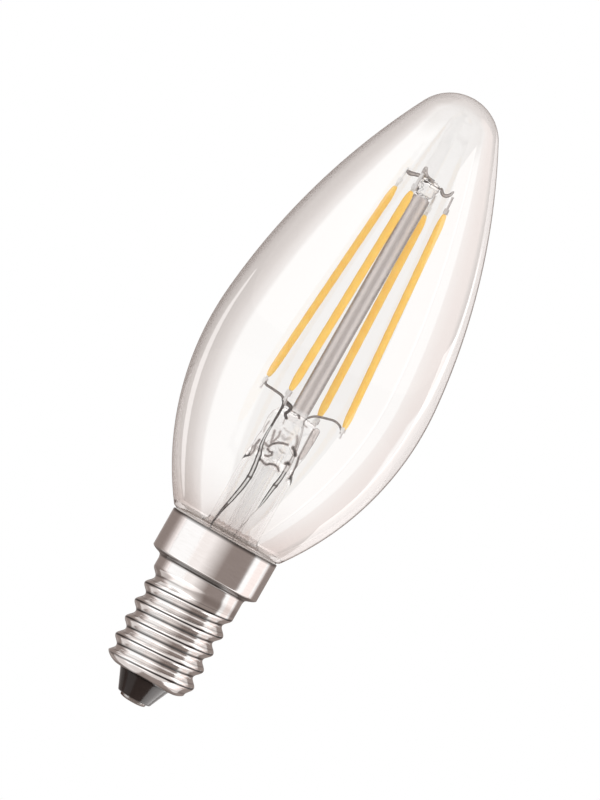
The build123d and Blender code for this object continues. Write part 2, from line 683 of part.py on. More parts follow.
def all_pieces():
    """Every node of the bulb by name."""
    pieces = {}
    for name in FILAMENTS:
        pieces[f"carrier_{name}"] = carrier(name)
        pieces[f"phosphor_{name}"] = phosphor(name)
        pieces[f"upper_tab_{name}"] = tab(name, UPPER_TAB_LENGTH, "upper")
        pieces[f"lower_tab_{name}"] = tab(name, LOWER_TAB_LENGTH, "lower")
    # The wires' ends take the shape of the tabs that they are welded to
    upper_tabs = [pieces[f"upper_tab_{name}"] for name in FILAMENTS]
    lower_tabs = [pieces[f"lower_tab_{name}"] for name in FILAMENTS]
    leads = [lead_wire_left() - lower_tabs, lead_wire_right() - lower_tabs]
    top_wires = [top_wire_outer() - upper_tabs, top_wire_inner() - upper_tabs]
    rod = support_rod(top_wires)
    pieces |= {
        "glass_envelope": glass_envelope(),
        "screw_shell": screw_shell(),
        "cement_ring": cement_ring(),
        "base_insulator": base_insulator(),
        "centre_contact": centre_contact(),
        "stem_flare": stem_flare(leads + [rod]),
        "exhaust_tube": exhaust_tube(),
        "support_rod": rod,
        "top_wire_outer": top_wires[0],
        "top_wire_inner": top_wires[1],
        "lead_wire_left": leads[0],
        "lead_wire_right": leads[1],
        "lead_branch_left": lead_branch(-1, "left_front") - lower_tabs - leads,
        "lead_branch_right": lead_branch(1, "right_rear") - lower_tabs - leads,
        "driver_board": driver_board(),
        "bridge_rectifier": chip(BRIDGE_SIZE, BRIDGE_RISE, BRIDGE_PINS),
        "driver_chip": chip(CHIP_SIZE, CHIP_RISE, CHIP_PINS),
        "smoothing_capacitor": smoothing_capacitor(),
        "fuse_resistor": fuse_resistor(),
        "shell_wire": shell_wire(),
    }
    return pieces


def main():
    os.makedirs("parts", exist_ok=True)
    for name, piece in all_pieces().items():
        export_step(piece, f"parts/{name}.step")


main()
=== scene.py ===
import math

import bmesh
import bpy
from mathutils import Matrix, Vector, noise


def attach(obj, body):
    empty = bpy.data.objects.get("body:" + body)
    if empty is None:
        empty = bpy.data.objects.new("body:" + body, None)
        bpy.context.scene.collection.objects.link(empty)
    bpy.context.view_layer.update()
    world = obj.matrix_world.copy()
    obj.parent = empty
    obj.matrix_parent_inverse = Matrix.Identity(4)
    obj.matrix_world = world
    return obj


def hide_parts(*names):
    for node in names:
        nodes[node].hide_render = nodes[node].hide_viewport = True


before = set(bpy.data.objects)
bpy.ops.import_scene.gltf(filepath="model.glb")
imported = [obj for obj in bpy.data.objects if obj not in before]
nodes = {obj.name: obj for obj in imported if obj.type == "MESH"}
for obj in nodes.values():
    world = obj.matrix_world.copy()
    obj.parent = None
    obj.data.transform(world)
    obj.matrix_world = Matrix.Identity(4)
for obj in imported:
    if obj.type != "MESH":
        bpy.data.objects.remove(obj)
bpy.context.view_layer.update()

# Sizes in millimetres, as in the CAD model
MM = 0.001
BULB_LENGTH = 99.7
BELLY_RADIUS = 17.5
BELLY_HEIGHT = 54.3
FLANK_ARC = 100.0
TIP_ARC = 7.0
GLASS_WALL = 0.6
SHOULDER = (8.7, 27.748)
NECK_RADIUS = 7.7
NECK_BORE = 6.9
NECK_BOTTOM = 22.2

THREAD_CREST = 6.93
THREAD_DEPTH = 0.98
THREAD_PITCH = 2.822
THREAD_START = 4.65
THREAD_TURNS = 4.5
THREAD_FADE = 0.45
RIM_RADIUS = 3.95
RIM_HEIGHT = 3.75
COLLAR_RADIUS = 8.5
COLLAR_BORE = 8.25
COLLAR_TOP = 27.4

MOUNT_X = 0.5
PRESS_TOP = 47.6
FILAMENT_BASE = 50.0
FILAMENT_LENGTH = 33.2
FILAMENT_FOOT = 7.15
FILAMENT_HEAD = 4.4
# Each filament's direction in degrees, its lift, and how far its coat reaches on at the foot and at the head
FILAMENTS = {
    "left_rear": (157.5, 0.4, 0.0, -0.2),
    "left_front": (247.5, 0.5, 0.3, 0.0),
    "right_rear": (67.5, -1.1, 0.0, -0.2),
    "right_front": (337.5, -0.3, 0.7, 0.35),
}


# Small helpers for meshes

def smoothstep(low, high, x):
    t = min(1.0, max(0.0, (x - low) / (high - low)))
    return t * t * (3 - 2 * t)


def add_object(name, data):
    made = bpy.data.objects.new(name, data)
    bpy.context.scene.collection.objects.link(made)
    return made


def make_object(name, bm, smooth=True):
    """A mesh object from a bmesh, with its faces turned outward."""
    bmesh.ops.recalc_face_normals(bm, faces=bm.faces)
    mesh = bpy.data.meshes.new(name)
    bm.to_mesh(mesh)
    bm.free()
    for polygon in mesh.polygons:
        polygon.use_smooth = smooth
    return add_object(name, mesh)


def angles(count):
    """Angles spread evenly round a circle."""
    return [2 * math.pi * k / count for k in range(count)]


def turned_ring(bm, segments, z, radius_at):
    """Vertices round the axis at a height, with a radius for each angle, in millimetres."""
    ring = []
    for a in angles(segments):
        r = radius_at(a)
        ring.append(bm.verts.new((r * MM * math.cos(a), r * MM * math.sin(a), z * MM)))
    return ring


def join_rings(bm, rings, close=False):
    """Faces between rings of vertices; a ring of one vertex is a pole."""
    pairs = list(zip(rings, rings[1:]))
    if close:
        pairs.append((rings[-1], rings[0]))
    for a, b in pairs:
        count = max(len(a), len(b))
        for i in range(count):
            j = (i + 1) % count
            corners = [a[i % len(a)], a[j % len(a)], b[j % len(b)], b[i % len(b)]]
            unique = list(dict.fromkeys(corners))
            if len(unique) > 2:
                bm.faces.new(unique)


def cap_ends(bm, rings):
    """Faces over the first and the last ring."""
    bm.faces.new(rings[0])
    bm.faces.new(rings[-1])


def lathe(name, profile, segments, close=False):
    """A turned piece from (radius, height) points in millimetres; a point on the axis is a pole."""
    bm = bmesh.new()
    rings = [turned_ring(bm, segments if r else 1, z, lambda a: r) for r, z in profile]
    join_rings(bm, rings, close)
    return make_object(name, bm)


def arc(centre, radius, start, end, steps):
    """Points on an arc about a centre, from one angle to another."""
    points = []
    for k in range(steps + 1):
        a = start + (end - start) * k / steps
        points.append((centre[0] + radius * math.cos(a), centre[1] + radius * math.sin(a)))
    return points


def bezier(p0, p1, p2, steps):
    """Points on a curve from one point to another, bent toward a point between them."""
    points = []
    for k in range(steps + 1):
        t = k / steps
        a, b, c = (1 - t) ** 2, 2 * t * (1 - t), t * t
        points.append((a * p0[0] + b * p1[0] + c * p2[0], a * p0[1] + b * p1[1] + c * p2[1]))
    return points


def straight(start, end, steps):
    """Points along a straight run, without its first one."""
    return [tuple(a + (b - a) * k / steps for a, b in zip(start, end)) for k in range(1, steps + 1)]


# Small helpers for materials and the world

def rgba(colour):
    if isinstance(colour, (int, float)):
        return (colour, colour, colour, 1)
    return (*colour, 1)


def grey(level):
    """A warm grey from an 8-bit level."""
    warmth = min(1.0, (255 - level) / 32)
    channels = []
    for channel in (level, level - 8 * warmth, level - 11 * warmth):
        c = max(channel, 0) / 255
        channels.append(c / 12.92 if c <= 0.04045 else ((c + 0.055) / 1.055) ** 2.4)
    return tuple(channels)


def tint(level):
    """The colour of glass that lets that grey through, when it counts at one surface only."""
    return tuple(c * c for c in grey(level))


def tints(stops):
    """Stops of a ramp of glass colours, from (position, level) pairs."""
    return [(position, tint(level)) for position, level in stops]


class NodeTree:
    """Short ways to add nodes to a material or the world."""

    def __init__(self, tree):
        self.tree = tree

    def node(self, kind, inputs=None, **settings):
        """A new node; its inputs are numbers, colours or other nodes' outputs."""
        made = self.tree.nodes.new(kind)
        for key, value in settings.items():
            setattr(made, key, value)
        for key, source in (inputs or {}).items():
            self.feed(made.inputs[key], source)
        return made

    def feed(self, target, source):
        """Gives a socket a number, a colour, a vector or another node's output."""
        if isinstance(source, bpy.types.NodeSocket):
            self.tree.links.new(source, target)
        else:
            target.default_value = rgba(source) if target.type == "RGBA" else source

    def maths(self, operation, *sources):
        return self.node("ShaderNodeMath", dict(enumerate(sources)), operation=operation).outputs[0]

    def mix(self, factor, a, b, blend="MIX"):
        made = self.node("ShaderNodeMix", {0: factor, 6: a, 7: b}, data_type="RGBA", blend_type=blend)
        return made.outputs[2]

    def times(self, a, b, share=1.0):
        """One colour times a share of another."""
        return self.mix(share, a, b, "MULTIPLY")

    def ramp(self, source, stops):
        """A colour ramp with (position, colour) stops."""
        made = self.node("ShaderNodeValToRGB", {"Fac": source})
        elements = made.color_ramp.elements
        elements.remove(elements[-1])
        elements[0].position = stops[0][0]
        elements[0].color = rgba(stops[0][1])
        for position, colour in stops[1:]:
            elements.new(position).color = rgba(colour)
        return made.outputs["Color"]

    def span(self, source, low, high, kind="LINEAR"):
        """A value mapped from a range to 0 and 1."""
        inputs = {"Value": source, "From Min": low, "From Max": high}
        return self.node("ShaderNodeMapRange", inputs, interpolation_type=kind).outputs["Result"]

    def point(self, space="Object"):
        """A point in the object's metres or, as Generated, a direction in the world."""
        return self.node("ShaderNodeTexCoord").outputs[space]

    def place(self, space="Object"):
        """The x, y and z of a point."""
        split = self.node("ShaderNodeSeparateXYZ", {0: self.point(space)})
        return [split.outputs[axis] for axis in "XYZ"]

    def seen(self):
        """1 for a ray that shows the background, straight or through glass."""
        path = self.node("ShaderNodeLightPath")
        return self.maths("MAXIMUM", path.outputs["Is Camera Ray"], path.outputs["Is Transmission Ray"])


def make_smoothing():
    """A node group that shades a mesh smooth except at its sharp edges."""
    sharp_angle = math.radians(40)
    same_place = 1e-7
    group = bpy.data.node_groups.new("smooth_by_angle", "GeometryNodeTree")
    for direction in ("INPUT", "OUTPUT"):
        group.interface.new_socket("Geometry", in_out=direction, socket_type="NodeSocketGeometry")
    tree = NodeTree(group)
    merge = tree.node("GeometryNodeMergeByDistance", {"Distance": same_place})
    faces = tree.node("GeometryNodeSetShadeSmooth", domain="FACE")
    edge_angle = tree.node("GeometryNodeInputMeshEdgeAngle").outputs[0]
    soft = tree.node("FunctionNodeCompare", {0: edge_angle, 1: sharp_angle}, data_type="FLOAT",
                     operation="LESS_THAN").outputs[0]
    edges = tree.node("GeometryNodeSetShadeSmooth", {"Shade Smooth": soft}, domain="EDGE")
    chain = [tree.node("NodeGroupInput"), merge, faces, edges, tree.node("NodeGroupOutput")]
    for before, after in zip(chain, chain[1:]):
        tree.feed(after.inputs[0], before.outputs[0])
    return group


class Paint(NodeTree):
    """A material with one Principled shader."""

    def __init__(self, name, **values):
        self.material = bpy.data.materials.new(name)
        self.material.use_nodes = True
        super().__init__(self.material.node_tree)
        self.shader = self.tree.nodes["Principled BSDF"]
        for key, value in values.items():
            self.shader.inputs[key.replace("_", " ")].default_value = value

    def set(self, socket, source):
        self.feed(self.shader.inputs[socket], source)

    def noise(self, scale, detail=4.0, stretch=(1, 1, 1), distortion=0.0):
        """Noise in object space; scale is in features per metre."""
        stretched = self.node("ShaderNodeMapping", {"Vector": self.point(), "Scale": stretch}).outputs[0]
        inputs = {"Vector": stretched, "Scale": scale, "Detail": detail, "Distortion": distortion}
        return self.node("ShaderNodeTexNoise", inputs).outputs["Fac"]

    def two_tone(self, source, dark, light):
        """Noise as two tones with a soft change between them."""
        return self.ramp(source, [(0.3, dark), (0.7, light)])

    def facing(self):
        """0 where the surface faces the viewer and 1 at its outline, for the gloss of glass and for the shade
        and highlights painted on glass and wire.
        """
        return self.node("ShaderNodeLayerWeight", {"Blend": 0.5}).outputs["Facing"]

    def across(self, stops):
        """Painted shade of a round piece of glass from its middle to its outline, from (facing, level) pairs.
        """
        return self.ramp(self.facing(), tints(stops))

    def height(self):
        """Height up the bulb, in metres."""
        return self.place()[2]

    def above(self, low, high):
        """0 below one height and 1 above another, in millimetres."""
        return self.span(self.height(), low * MM, high * MM)

    def band(self, start, full, fade, end):
        """1 between two heights, in millimetres, fading to 0 outside them."""
        return self.maths("MULTIPLY", self.above(start, full), self.above(end, fade))

    def bump(self, source, strength, depth):
        """Roughens the surface by a depth, in millimetres."""
        inputs = {"Strength": strength, "Distance": depth * MM, "Height": source}
        self.set("Normal", self.node("ShaderNodeBump", inputs).outputs["Normal"])

    def backfacing(self):
        """1 where a ray leaves the piece."""
        return self.node("ShaderNodeNewGeometry").outputs["Backfacing"]

    def front_only(self, colour):
        """A glass colour that counts once, where a ray enters."""
        return self.mix(self.backfacing(), colour, (1, 1, 1))

    def fold_shade(self, scale, darkest):
        """Painted shade: thin dark winding lines on clear glass, where it is folded."""
        return self.ramp(self.noise(scale, detail=1.5, distortion=0.8), [
            (0.0, 1.0), (0.455, 1.0), (0.485, darkest), (0.5, darkest), (0.525, 0.85), (0.56, 1.0),
            (0.62, 1.0), (0.64, 0.55), (0.66, 1.0),
        ])


def dress(piece, *paints):
    """Gives a piece its materials, in the order of its faces' material numbers."""
    numbers = [polygon.material_index for polygon in piece.data.polygons]
    piece.data.materials.clear()
    for paint in paints:
        piece.data.materials.append(paint.material)
    if len(paints) > 1:
        piece.data.polygons.foreach_set("material_index", numbers)


# Materials

def clear_paint(name, ior, roughness=0.0, specular=0.1, **more):
    """Clear glass; the mount's has a low index, so that it hardly bends what is behind it."""
    return Paint(name, IOR=ior, Roughness=roughness, Specular_IOR_Level=specular,
                 Transmission_Weight=1.0, **more)


def make_outer_glass():
    """The outside of the bulb: clear, shaded over the collar, with a gloss that grows toward the outline."""
    shade_top = 38.2
    paint = clear_paint("clear_glass", 1.5, specular=0.12, Coat_IOR=3.5, Coat_Roughness=0.0,
                        Coat_Tint=(1.0, 0.955, 0.94, 1.0))
    ripple = paint.noise(60, detail=1.0, stretch=(1, 1, 0.5))
    clear = paint.two_tone(ripple, (0.984, 0.982, 0.974), (0.990, 0.988, 0.980))
    shoulder = paint.ramp(paint.above(COLLAR_TOP, shade_top), tints([
        (0.0, 190), (0.023, 195), (0.044, 250), (0.074, 252), (0.111, 236), (0.139, 231), (0.194, 233),
        (0.333, 241), (0.519, 248), (0.796, 254), (1.0, 255),
    ]))
    paint.set("Base Color", paint.times(clear, paint.front_only(shoulder)))
    gloss = paint.ramp(paint.facing(), [
        (0.0, 0.28), (0.1, 0.28), (0.31, 0.60), (0.36, 0.77), (0.42, 0.95), (0.48, 1.0), (1.0, 1.0),
    ])
    paint.set("Coat Weight", paint.mix(paint.backfacing(), gloss, (0, 0, 0)))
    paint.bump(ripple, 0.05, 0.2)
    return paint


def make_inner_glass():
    """The inside of the bulb, with hardly any gloss of its own."""
    paint = clear_paint("clear_glass_inside", 1.5, specular=0.0)
    ripple = paint.noise(60, detail=1.0, stretch=(1, 1, 0.5))
    paint.set("Base Color", paint.two_tone(ripple, (0.990, 0.988, 0.984), (0.996, 0.994, 0.990)))
    return paint


def make_rod_glass():
    """Solid rod, grey along its sides, with painted shade darker toward its outline, a paler painted
    highlight band near its middle and a pale foot in the press.
    """
    paint = clear_paint("rod_glass", 1.2, 0.02)
    across = paint.across([
        (0.0, 188), (0.01, 191), (0.026, 203), (0.046, 212), (0.11, 225), (0.183, 218), (0.244, 206),
        (0.342, 176), (0.443, 156), (0.632, 148), (1.0, 148),
    ])
    streaks = paint.two_tone(paint.noise(900, detail=3.0, stretch=(1, 1, 0.02)), 0.7, 1.0)
    streaked = paint.times(across, streaks, 0.2)
    over_press = paint.above(PRESS_TOP, PRESS_TOP + 1)
    paint.set("Base Color", paint.front_only(paint.mix(over_press, tint(246), streaked)))
    return paint


def make_button_glass():
    """A lump of clear glass with painted shade: darker toward its outline and along thin winding lines where
    it is folded.
    """
    paint = clear_paint("button_glass", 1.3)
    edge = paint.across([(0.0, 252), (0.5, 244), (0.75, 180), (1.0, 110)])
    paint.set("Base Color", paint.front_only(paint.times(edge, paint.fold_shade(800, 0.20))))
    return paint


def make_stem_glass():
    """Clear tube, lumpy and creased where it is pressed together, with painted shade toward its outlines,
    along winding lines where it is folded and in its creases, and grey below a ragged line at the neck.
    """
    press_bottom, press_full = 38.4, 39.2
    line_low, line_high, line_rag = 28.7, 28.9, 0.8
    paint = clear_paint("stem_glass", 1.12)
    tube = paint.across([(0.0, 254), (0.5, 252), (0.85, 249), (1.0, 242)])
    lump = paint.across([(0.0, 254), (0.4, 251), (0.7, 220), (1.0, 150)])
    lump = paint.times(lump, paint.fold_shade(330, 0.3), 0.25)
    # Painted shade in the creases: the deeper the press is creased, the darker its glass.
    creases = paint.node("ShaderNodeAttribute", attribute_name="crease").outputs["Fac"]
    lines = paint.ramp(creases, tints([(0.0, 255), (0.12, 244), (0.35, 180), (0.6, 110), (0.9, 62)]))
    body = paint.mix(paint.above(press_bottom, press_full), tube, paint.times(lump, lines))
    rag = paint.noise(1500, detail=3.0, stretch=(1, 1, 0.2))
    ragged = paint.maths("MULTIPLY_ADD", rag, -line_rag * MM, paint.height())
    over_line = paint.span(ragged, line_low * MM, line_high * MM)
    paint.set("Base Color", paint.front_only(paint.mix(over_line, tint(212), body)))
    return paint


def make_streaked_glass(name, ior, stops, scale, stretch, dark):
    """Clear glass with painted shade that darkens it toward its outline, and faint streaks along it."""
    paint = clear_paint(name, ior)
    streaks = paint.two_tone(paint.noise(scale, stretch=(1, 1, stretch)), dark, 1.0)
    paint.set("Base Color", paint.front_only(paint.times(paint.across(stops), streaks)))
    return paint


def make_phosphor():
    """Yellow coat, a little translucent, faintly barred by the chips inside it."""
    paint = Paint("phosphor", Roughness=0.5, Subsurface_Weight=0.25, Subsurface_Scale=0.0004,
                  Subsurface_Radius=(1.0, 0.7, 0.3), Specular_IOR_Level=0.15)
    inputs = {"Vector": paint.point(), "Scale": 140, "Distortion": 0.6}
    chips = paint.node("ShaderNodeTexWave", inputs, wave_type="BANDS", bands_direction="Z").outputs["Fac"]
    body = paint.two_tone(paint.noise(700, detail=3.0), (0.93, 0.56, 0.10), (0.96, 0.62, 0.135))
    bars = paint.two_tone(chips, (0.9, 0.8, 0.6), 1.0)
    paint.set("Base Color", paint.times(body, bars, 0.12))
    paint.bump(paint.noise(1500, detail=2.0), 0.15, 0.05)
    return paint


def make_plated_shell():
    """Bright plating, with painted shade: dark lines along each turn of the thread, a darker band where the
    thread runs out, and dark bands along the collar's edges and round the cup.
    """
    paint = Paint("plated_shell", Metallic=1.0)
    fine = paint.noise(500, detail=5.0, stretch=(1, 1, 6))
    plating = paint.two_tone(fine, (0.86, 0.835, 0.82), (0.90, 0.88, 0.87))
    x, y, z = paint.place()
    turn = paint.maths("DIVIDE", paint.maths("ARCTAN2", y, x), 2 * math.pi)
    climb = paint.maths("DIVIDE", paint.maths("SUBTRACT", z, THREAD_START * MM), THREAD_PITCH * MM)
    phase = paint.maths("FRACT", paint.maths("SUBTRACT", climb, turn))
    # Painted shade: dark lines at set places on each turn of the thread.
    lines = paint.ramp(phase, [
        (0.0, 1.0), (0.02, 0.7), (0.055, 0.10), (0.095, 0.10), (0.14, 0.6), (0.2, 1.0),
        (0.44, 1.0), (0.47, 0.09), (0.52, 0.09), (0.57, 1.0), (0.68, 1.0), (0.725, 0.6), (0.77, 1.0),
    ])
    threaded = paint.band(4.4, 5.2, 17.1, 18.4)
    lined = paint.mix(threaded, plating, paint.times(plating, lines))
    # Painted shade: a darker band where the thread runs out.
    runout = paint.band(17.5, 18.0, 18.5, 19.2)
    lined = paint.mix(runout, lined, paint.times(lined, (0.74, 0.72, 0.71)))
    # Painted shade: dark bands in the crease under the collar, along the collar's top rim and round the cup
    # at the bottom.
    crease = paint.band(20.30, 20.62, 21.06, 21.40)
    rim = paint.band(26.85, 27.22, 28.0, 28.1)
    cup = paint.band(3.0, 3.1, 3.85, 4.3)
    painted_edge_shade = paint.maths("MAXIMUM", paint.maths("MULTIPLY", paint.maths("MAXIMUM", rim, cup), 0.87), crease)
    paint.set("Base Color", paint.mix(painted_edge_shade, lined, paint.times(lined, (0.07, 0.064, 0.06))))
    paint.set("Roughness", paint.two_tone(paint.noise(250, detail=4.0), 0.11, 0.15))
    paint.bump(fine, 0.03, 0.05)
    return paint


def make_contact_metal():
    paint = Paint("contact_metal", Metallic=1.0)
    grain = paint.noise(1200, detail=4.0)
    paint.set("Base Color", paint.two_tone(grain, (0.48, 0.46, 0.445), (0.60, 0.58, 0.565)))
    paint.set("Roughness", paint.two_tone(grain, 0.2, 0.32))
    paint.bump(grain, 0.2, 0.04)
    return paint


def make_wire_metal(name, centre, outline):
    """Bright wire, with a painted highlight along its middle and painted shade along its outline."""
    paint = Paint(name, Metallic=1.0, Roughness=0.3)
    gloss = paint.ramp(paint.facing(), [
        (0.0, grey(centre)), (0.05, grey(centre)), (0.13, grey(outline + 25)), (0.3, grey(outline)),
        (1.0, grey(outline - 15)),
    ])
    paint.set("Base Color", paint.times(gloss, paint.noise(2500, detail=3.0), 0.3))
    return paint


def make_plain(name, dark, light, scale, roughness, metallic=0.0, specular=0.5, bump=(0.1, 0.05)):
    """Moulded, fired or printed stuff: two tones of noise, with a little bump."""
    paint = Paint(name, Roughness=roughness, Metallic=metallic, Specular_IOR_Level=specular)
    grain = paint.noise(scale, detail=5.0)
    paint.set("Base Color", paint.two_tone(grain, dark, light))
    paint.bump(grain, *bump)
    return paint


outer_glass = make_outer_glass()
inner_glass = make_inner_glass()
rod_glass = make_rod_glass()
button_glass = make_button_glass()
stem_glass = make_stem_glass()
hollow_tones = [(0.0, 254), (0.3, 254), (0.7, 246), (1.0, 246)]
hollow_glass = make_streaked_glass("hollow_glass", 1.12, hollow_tones, 900, 0.1, 0.92)
# Grey with dark outlines, for the bar down the press: a painted refraction of the right lead seen through the
# press.
lead_refraction_tones = [(0.0, 222), (0.3, 222), (0.7, 90), (1.0, 90)]
lead_refraction_glass = make_streaked_glass("lead_refraction_glass", 1.12, lead_refraction_tones, 900, 0.1, 0.92)
tube_tones = [(0.0, 254), (0.4, 252), (0.75, 245), (1.0, 222)]
tube_glass = make_streaked_glass("tube_glass", 1.1, tube_tones, 800, 0.05, 0.94)
phosphor = make_phosphor()
plated_shell = make_plated_shell()
insulator = make_plain("insulator", (0.020, 0.0135, 0.0115), (0.027, 0.0185, 0.016), 900, 0.16,
                       specular=0.25, bump=(0.05, 0.04))
contact_metal = make_contact_metal()
# Copies of the wire material in other tones; the dark and the pale copy are painted shade and painted light
# where the leads are seen through the glass, and the dark one also colours the joins and the weld.
wire_metal = make_wire_metal("wire_metal", 252, 42)
dark_wire_metal = make_wire_metal("dark_wire_metal", 85, 45)
lit_wire_metal = make_wire_metal("lit_wire_metal", 248, 205)
arm_metal = make_wire_metal("arm_metal", 190, 120)
post_metal = make_wire_metal("post_metal", 220, 165)
bracket_metal = make_wire_metal("bracket_metal", 200, 140)
fin_metal = make_wire_metal("fin_metal", 245, 195)
tab_metal = make_wire_metal("tab_metal", 250, 215)
tinned_metal = make_plain("tinned_metal", (0.80, 0.79, 0.78), (0.90, 0.89, 0.88), 1500, 0.45, 0.2)
carrier_ceramic = make_plain("carrier_ceramic", (0.62, 0.60, 0.56), (0.74, 0.72, 0.68), 1500, 0.45)
cement = make_plain("cement", (0.66, 0.63, 0.60), (0.80, 0.78, 0.75), 900, 0.85)
board = make_plain("board", (0.02, 0.10, 0.05), (0.03, 0.14, 0.07), 800, 0.4)
chip_body = make_plain("chip_body", (0.012, 0.012, 0.013), (0.025, 0.025, 0.027), 1500, 0.5)
capacitor_can = make_plain("capacitor_can", (0.03, 0.035, 0.05), (0.05, 0.055, 0.075), 700, 0.35)
resistor_body = make_plain("resistor_body", (0.50, 0.375, 0.26), (0.60, 0.46, 0.33), 900, 0.4)


# Glass envelope

def clear_of_light(piece):
    """Clear glass casts no shadow on the other pieces."""
    piece.visible_shadow = False
    piece.visible_diffuse = False


def envelope_outline(inset, steps):
    """Belly, flank and tip arcs of the glass from the shoulder to the tip, set in by a wall."""
    swell = BELLY_RADIUS - SHOULDER[0]
    rise = BELLY_HEIGHT - SHOULDER[1]
    belly_arc = (swell**2 + rise**2) / (2 * swell)
    belly = Vector((BELLY_RADIUS - belly_arc, BELLY_HEIGHT))
    tip = Vector((0, BULB_LENGTH - TIP_ARC))
    to_tip = tip - belly
    ahead = to_tip.normalized()
    belly_reach = FLANK_ARC - belly_arc
    tip_reach = FLANK_ARC - TIP_ARC
    along = (belly_reach**2 - tip_reach**2 + to_tip.length**2) / (2 * to_tip.length)
    aside = math.sqrt(belly_reach**2 - along**2)
    flank = belly + ahead * along + Vector((-ahead.y, ahead.x)) * aside
    lower = (belly - flank).normalized()
    upper = (tip - flank).normalized()
    start = math.atan2(SHOULDER[1] + 0.5 * inset - BELLY_HEIGHT, belly_arc - swell)
    turn_one = math.atan2(lower.y, lower.x)
    turn_two = math.atan2(upper.y, upper.x)
    points = arc(belly, belly_arc - inset, start, turn_one, steps)
    points += arc(flank, FLANK_ARC - inset, turn_one, turn_two, steps)[1:]
    points += arc(tip, TIP_ARC - inset, turn_two, math.pi / 2, steps // 2)[1:]
    points[-1] = (0.0, BULB_LENGTH - inset)
    return points


def set_in(points, wall):
    """A line of (radius, height) points moved inward by a wall."""
    moved = []
    for k, point in enumerate(points):
        before = Vector(points[max(k - 1, 0)])
        after = Vector(points[min(k + 1, len(points) - 1)])
        way = (after - before).normalized()
        moved.append((point[0] - way.y * wall, point[1] + way.x * wall))
    return moved


def build_glass():
    segments, steps = 144, 48
    straight_top, bend_bottom = 24.5, 26.6
    bend_corner = (NECK_RADIUS + 0.05, SHOULDER[1] - 0.35)
    inside_clearance = 0.4
    tip_zone = 98.5
    outer = envelope_outline(0, steps)
    inner = envelope_outline(GLASS_WALL, steps)
    neck = [(NECK_RADIUS, NECK_BOTTOM), (NECK_RADIUS, straight_top)]
    neck += bezier((NECK_RADIUS, bend_bottom), bend_corner, outer[0], 10)
    inside = set_in(neck, NECK_RADIUS - NECK_BORE)
    inside = [point for point in inside if point[1] < inner[0][1] - inside_clearance]
    profile = neck + outer[1:] + inner[::-1] + inside[::-1]
    glass = lathe("glass_bulb", profile, segments, close=True)
    dress(glass, outer_glass, inner_glass)
    for polygon in glass.data.polygons:
        centre = polygon.center
        outward = Vector((centre.x, centre.y, 0)).normalized()
        if centre.z >= tip_zone * MM:
            outward = Vector((0, 0, 1))
        polygon.material_index = 1 if polygon.normal.dot(outward) < 0 else 0
    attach(glass, "root")
    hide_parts("glass_envelope")
    clear_of_light(glass)


# Screw shell: one turned surface with a thread pressed in along a screw line and a rounded cup at its end

LEAD_IN = (-0.6, 0.2)
GROOVE_WIDENING = 0.9
CUP_HEIGHT = 2.15
CUP_FLARE = 0.1
CUP_ROUNDNESS = 1.8
JOIN_WIDTH = 0.25
JOIN_DEPTH = 0.35


def shell_radius(angle, z):
    """Outer radius of the threaded part at an angle and height; the lead-in is in turns."""
    here = angle / (2 * math.pi)
    turns = (z - THREAD_START) / THREAD_PITCH
    along = round(turns - here) + here
    groove = 0.5 + 0.5 * math.cos(2 * math.pi * (turns - along))
    runout = 1 - smoothstep(THREAD_TURNS, THREAD_TURNS + THREAD_FADE, along)
    depth = THREAD_DEPTH * runout * smoothstep(*LEAD_IN, along)
    threaded = THREAD_CREST - depth * groove**GROOVE_WIDENING
    share = min(1.0, max(0.0, (z - RIM_HEIGHT) / CUP_HEIGHT))
    cup_width = THREAD_CREST + CUP_FLARE - RIM_RADIUS
    cup = RIM_RADIUS + cup_width * math.sqrt(1 - (1 - share) ** CUP_ROUNDNESS)
    join = JOIN_WIDTH * math.exp(-abs(threaded - cup) / JOIN_WIDTH) * JOIN_DEPTH
    return min(threaded, cup) - join


def build_shell():
    segments, steps = 180, 170
    edge = 0.02
    bottom, barrel_top = RIM_HEIGHT + edge, 20.1
    crease = (7.3, 20.76)
    collar_foot, collar_edge, bore_bottom = 21.42, 27.15, 26.4
    bm = bmesh.new()

    def plain(points):
        return [turned_ring(bm, segments, z, lambda a: r) for r, z in points]

    rings = plain([(RIM_RADIUS, RIM_HEIGHT + 0.3), (RIM_RADIUS, bottom)])
    for k in range(1, steps + 1):
        z = bottom + (barrel_top - bottom) * k / steps
        rings.append(turned_ring(bm, segments, z, lambda a: max(RIM_RADIUS + edge, shell_radius(a, z))))
    collar = bezier((THREAD_CREST, 20.3), (THREAD_CREST, 20.62), crease, 8)
    collar += bezier((7.35, 20.78), (8.42, 21.12), (COLLAR_RADIUS, collar_foot), 12)
    collar += straight((COLLAR_RADIUS, collar_foot), (COLLAR_RADIUS, collar_edge), 11)
    lip = (COLLAR_RADIUS - 0.14, COLLAR_TOP)
    collar += bezier((COLLAR_RADIUS, 27.2), (COLLAR_RADIUS, COLLAR_TOP), lip, 5)
    collar += [(COLLAR_BORE, COLLAR_TOP - edge), (COLLAR_BORE, bore_bottom)]
    rings += plain(collar)
    join_rings(bm, rings)
    shell = make_object("threaded_shell", bm)
    dress(shell, plated_shell)
    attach(shell, "root")
    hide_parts("screw_shell")


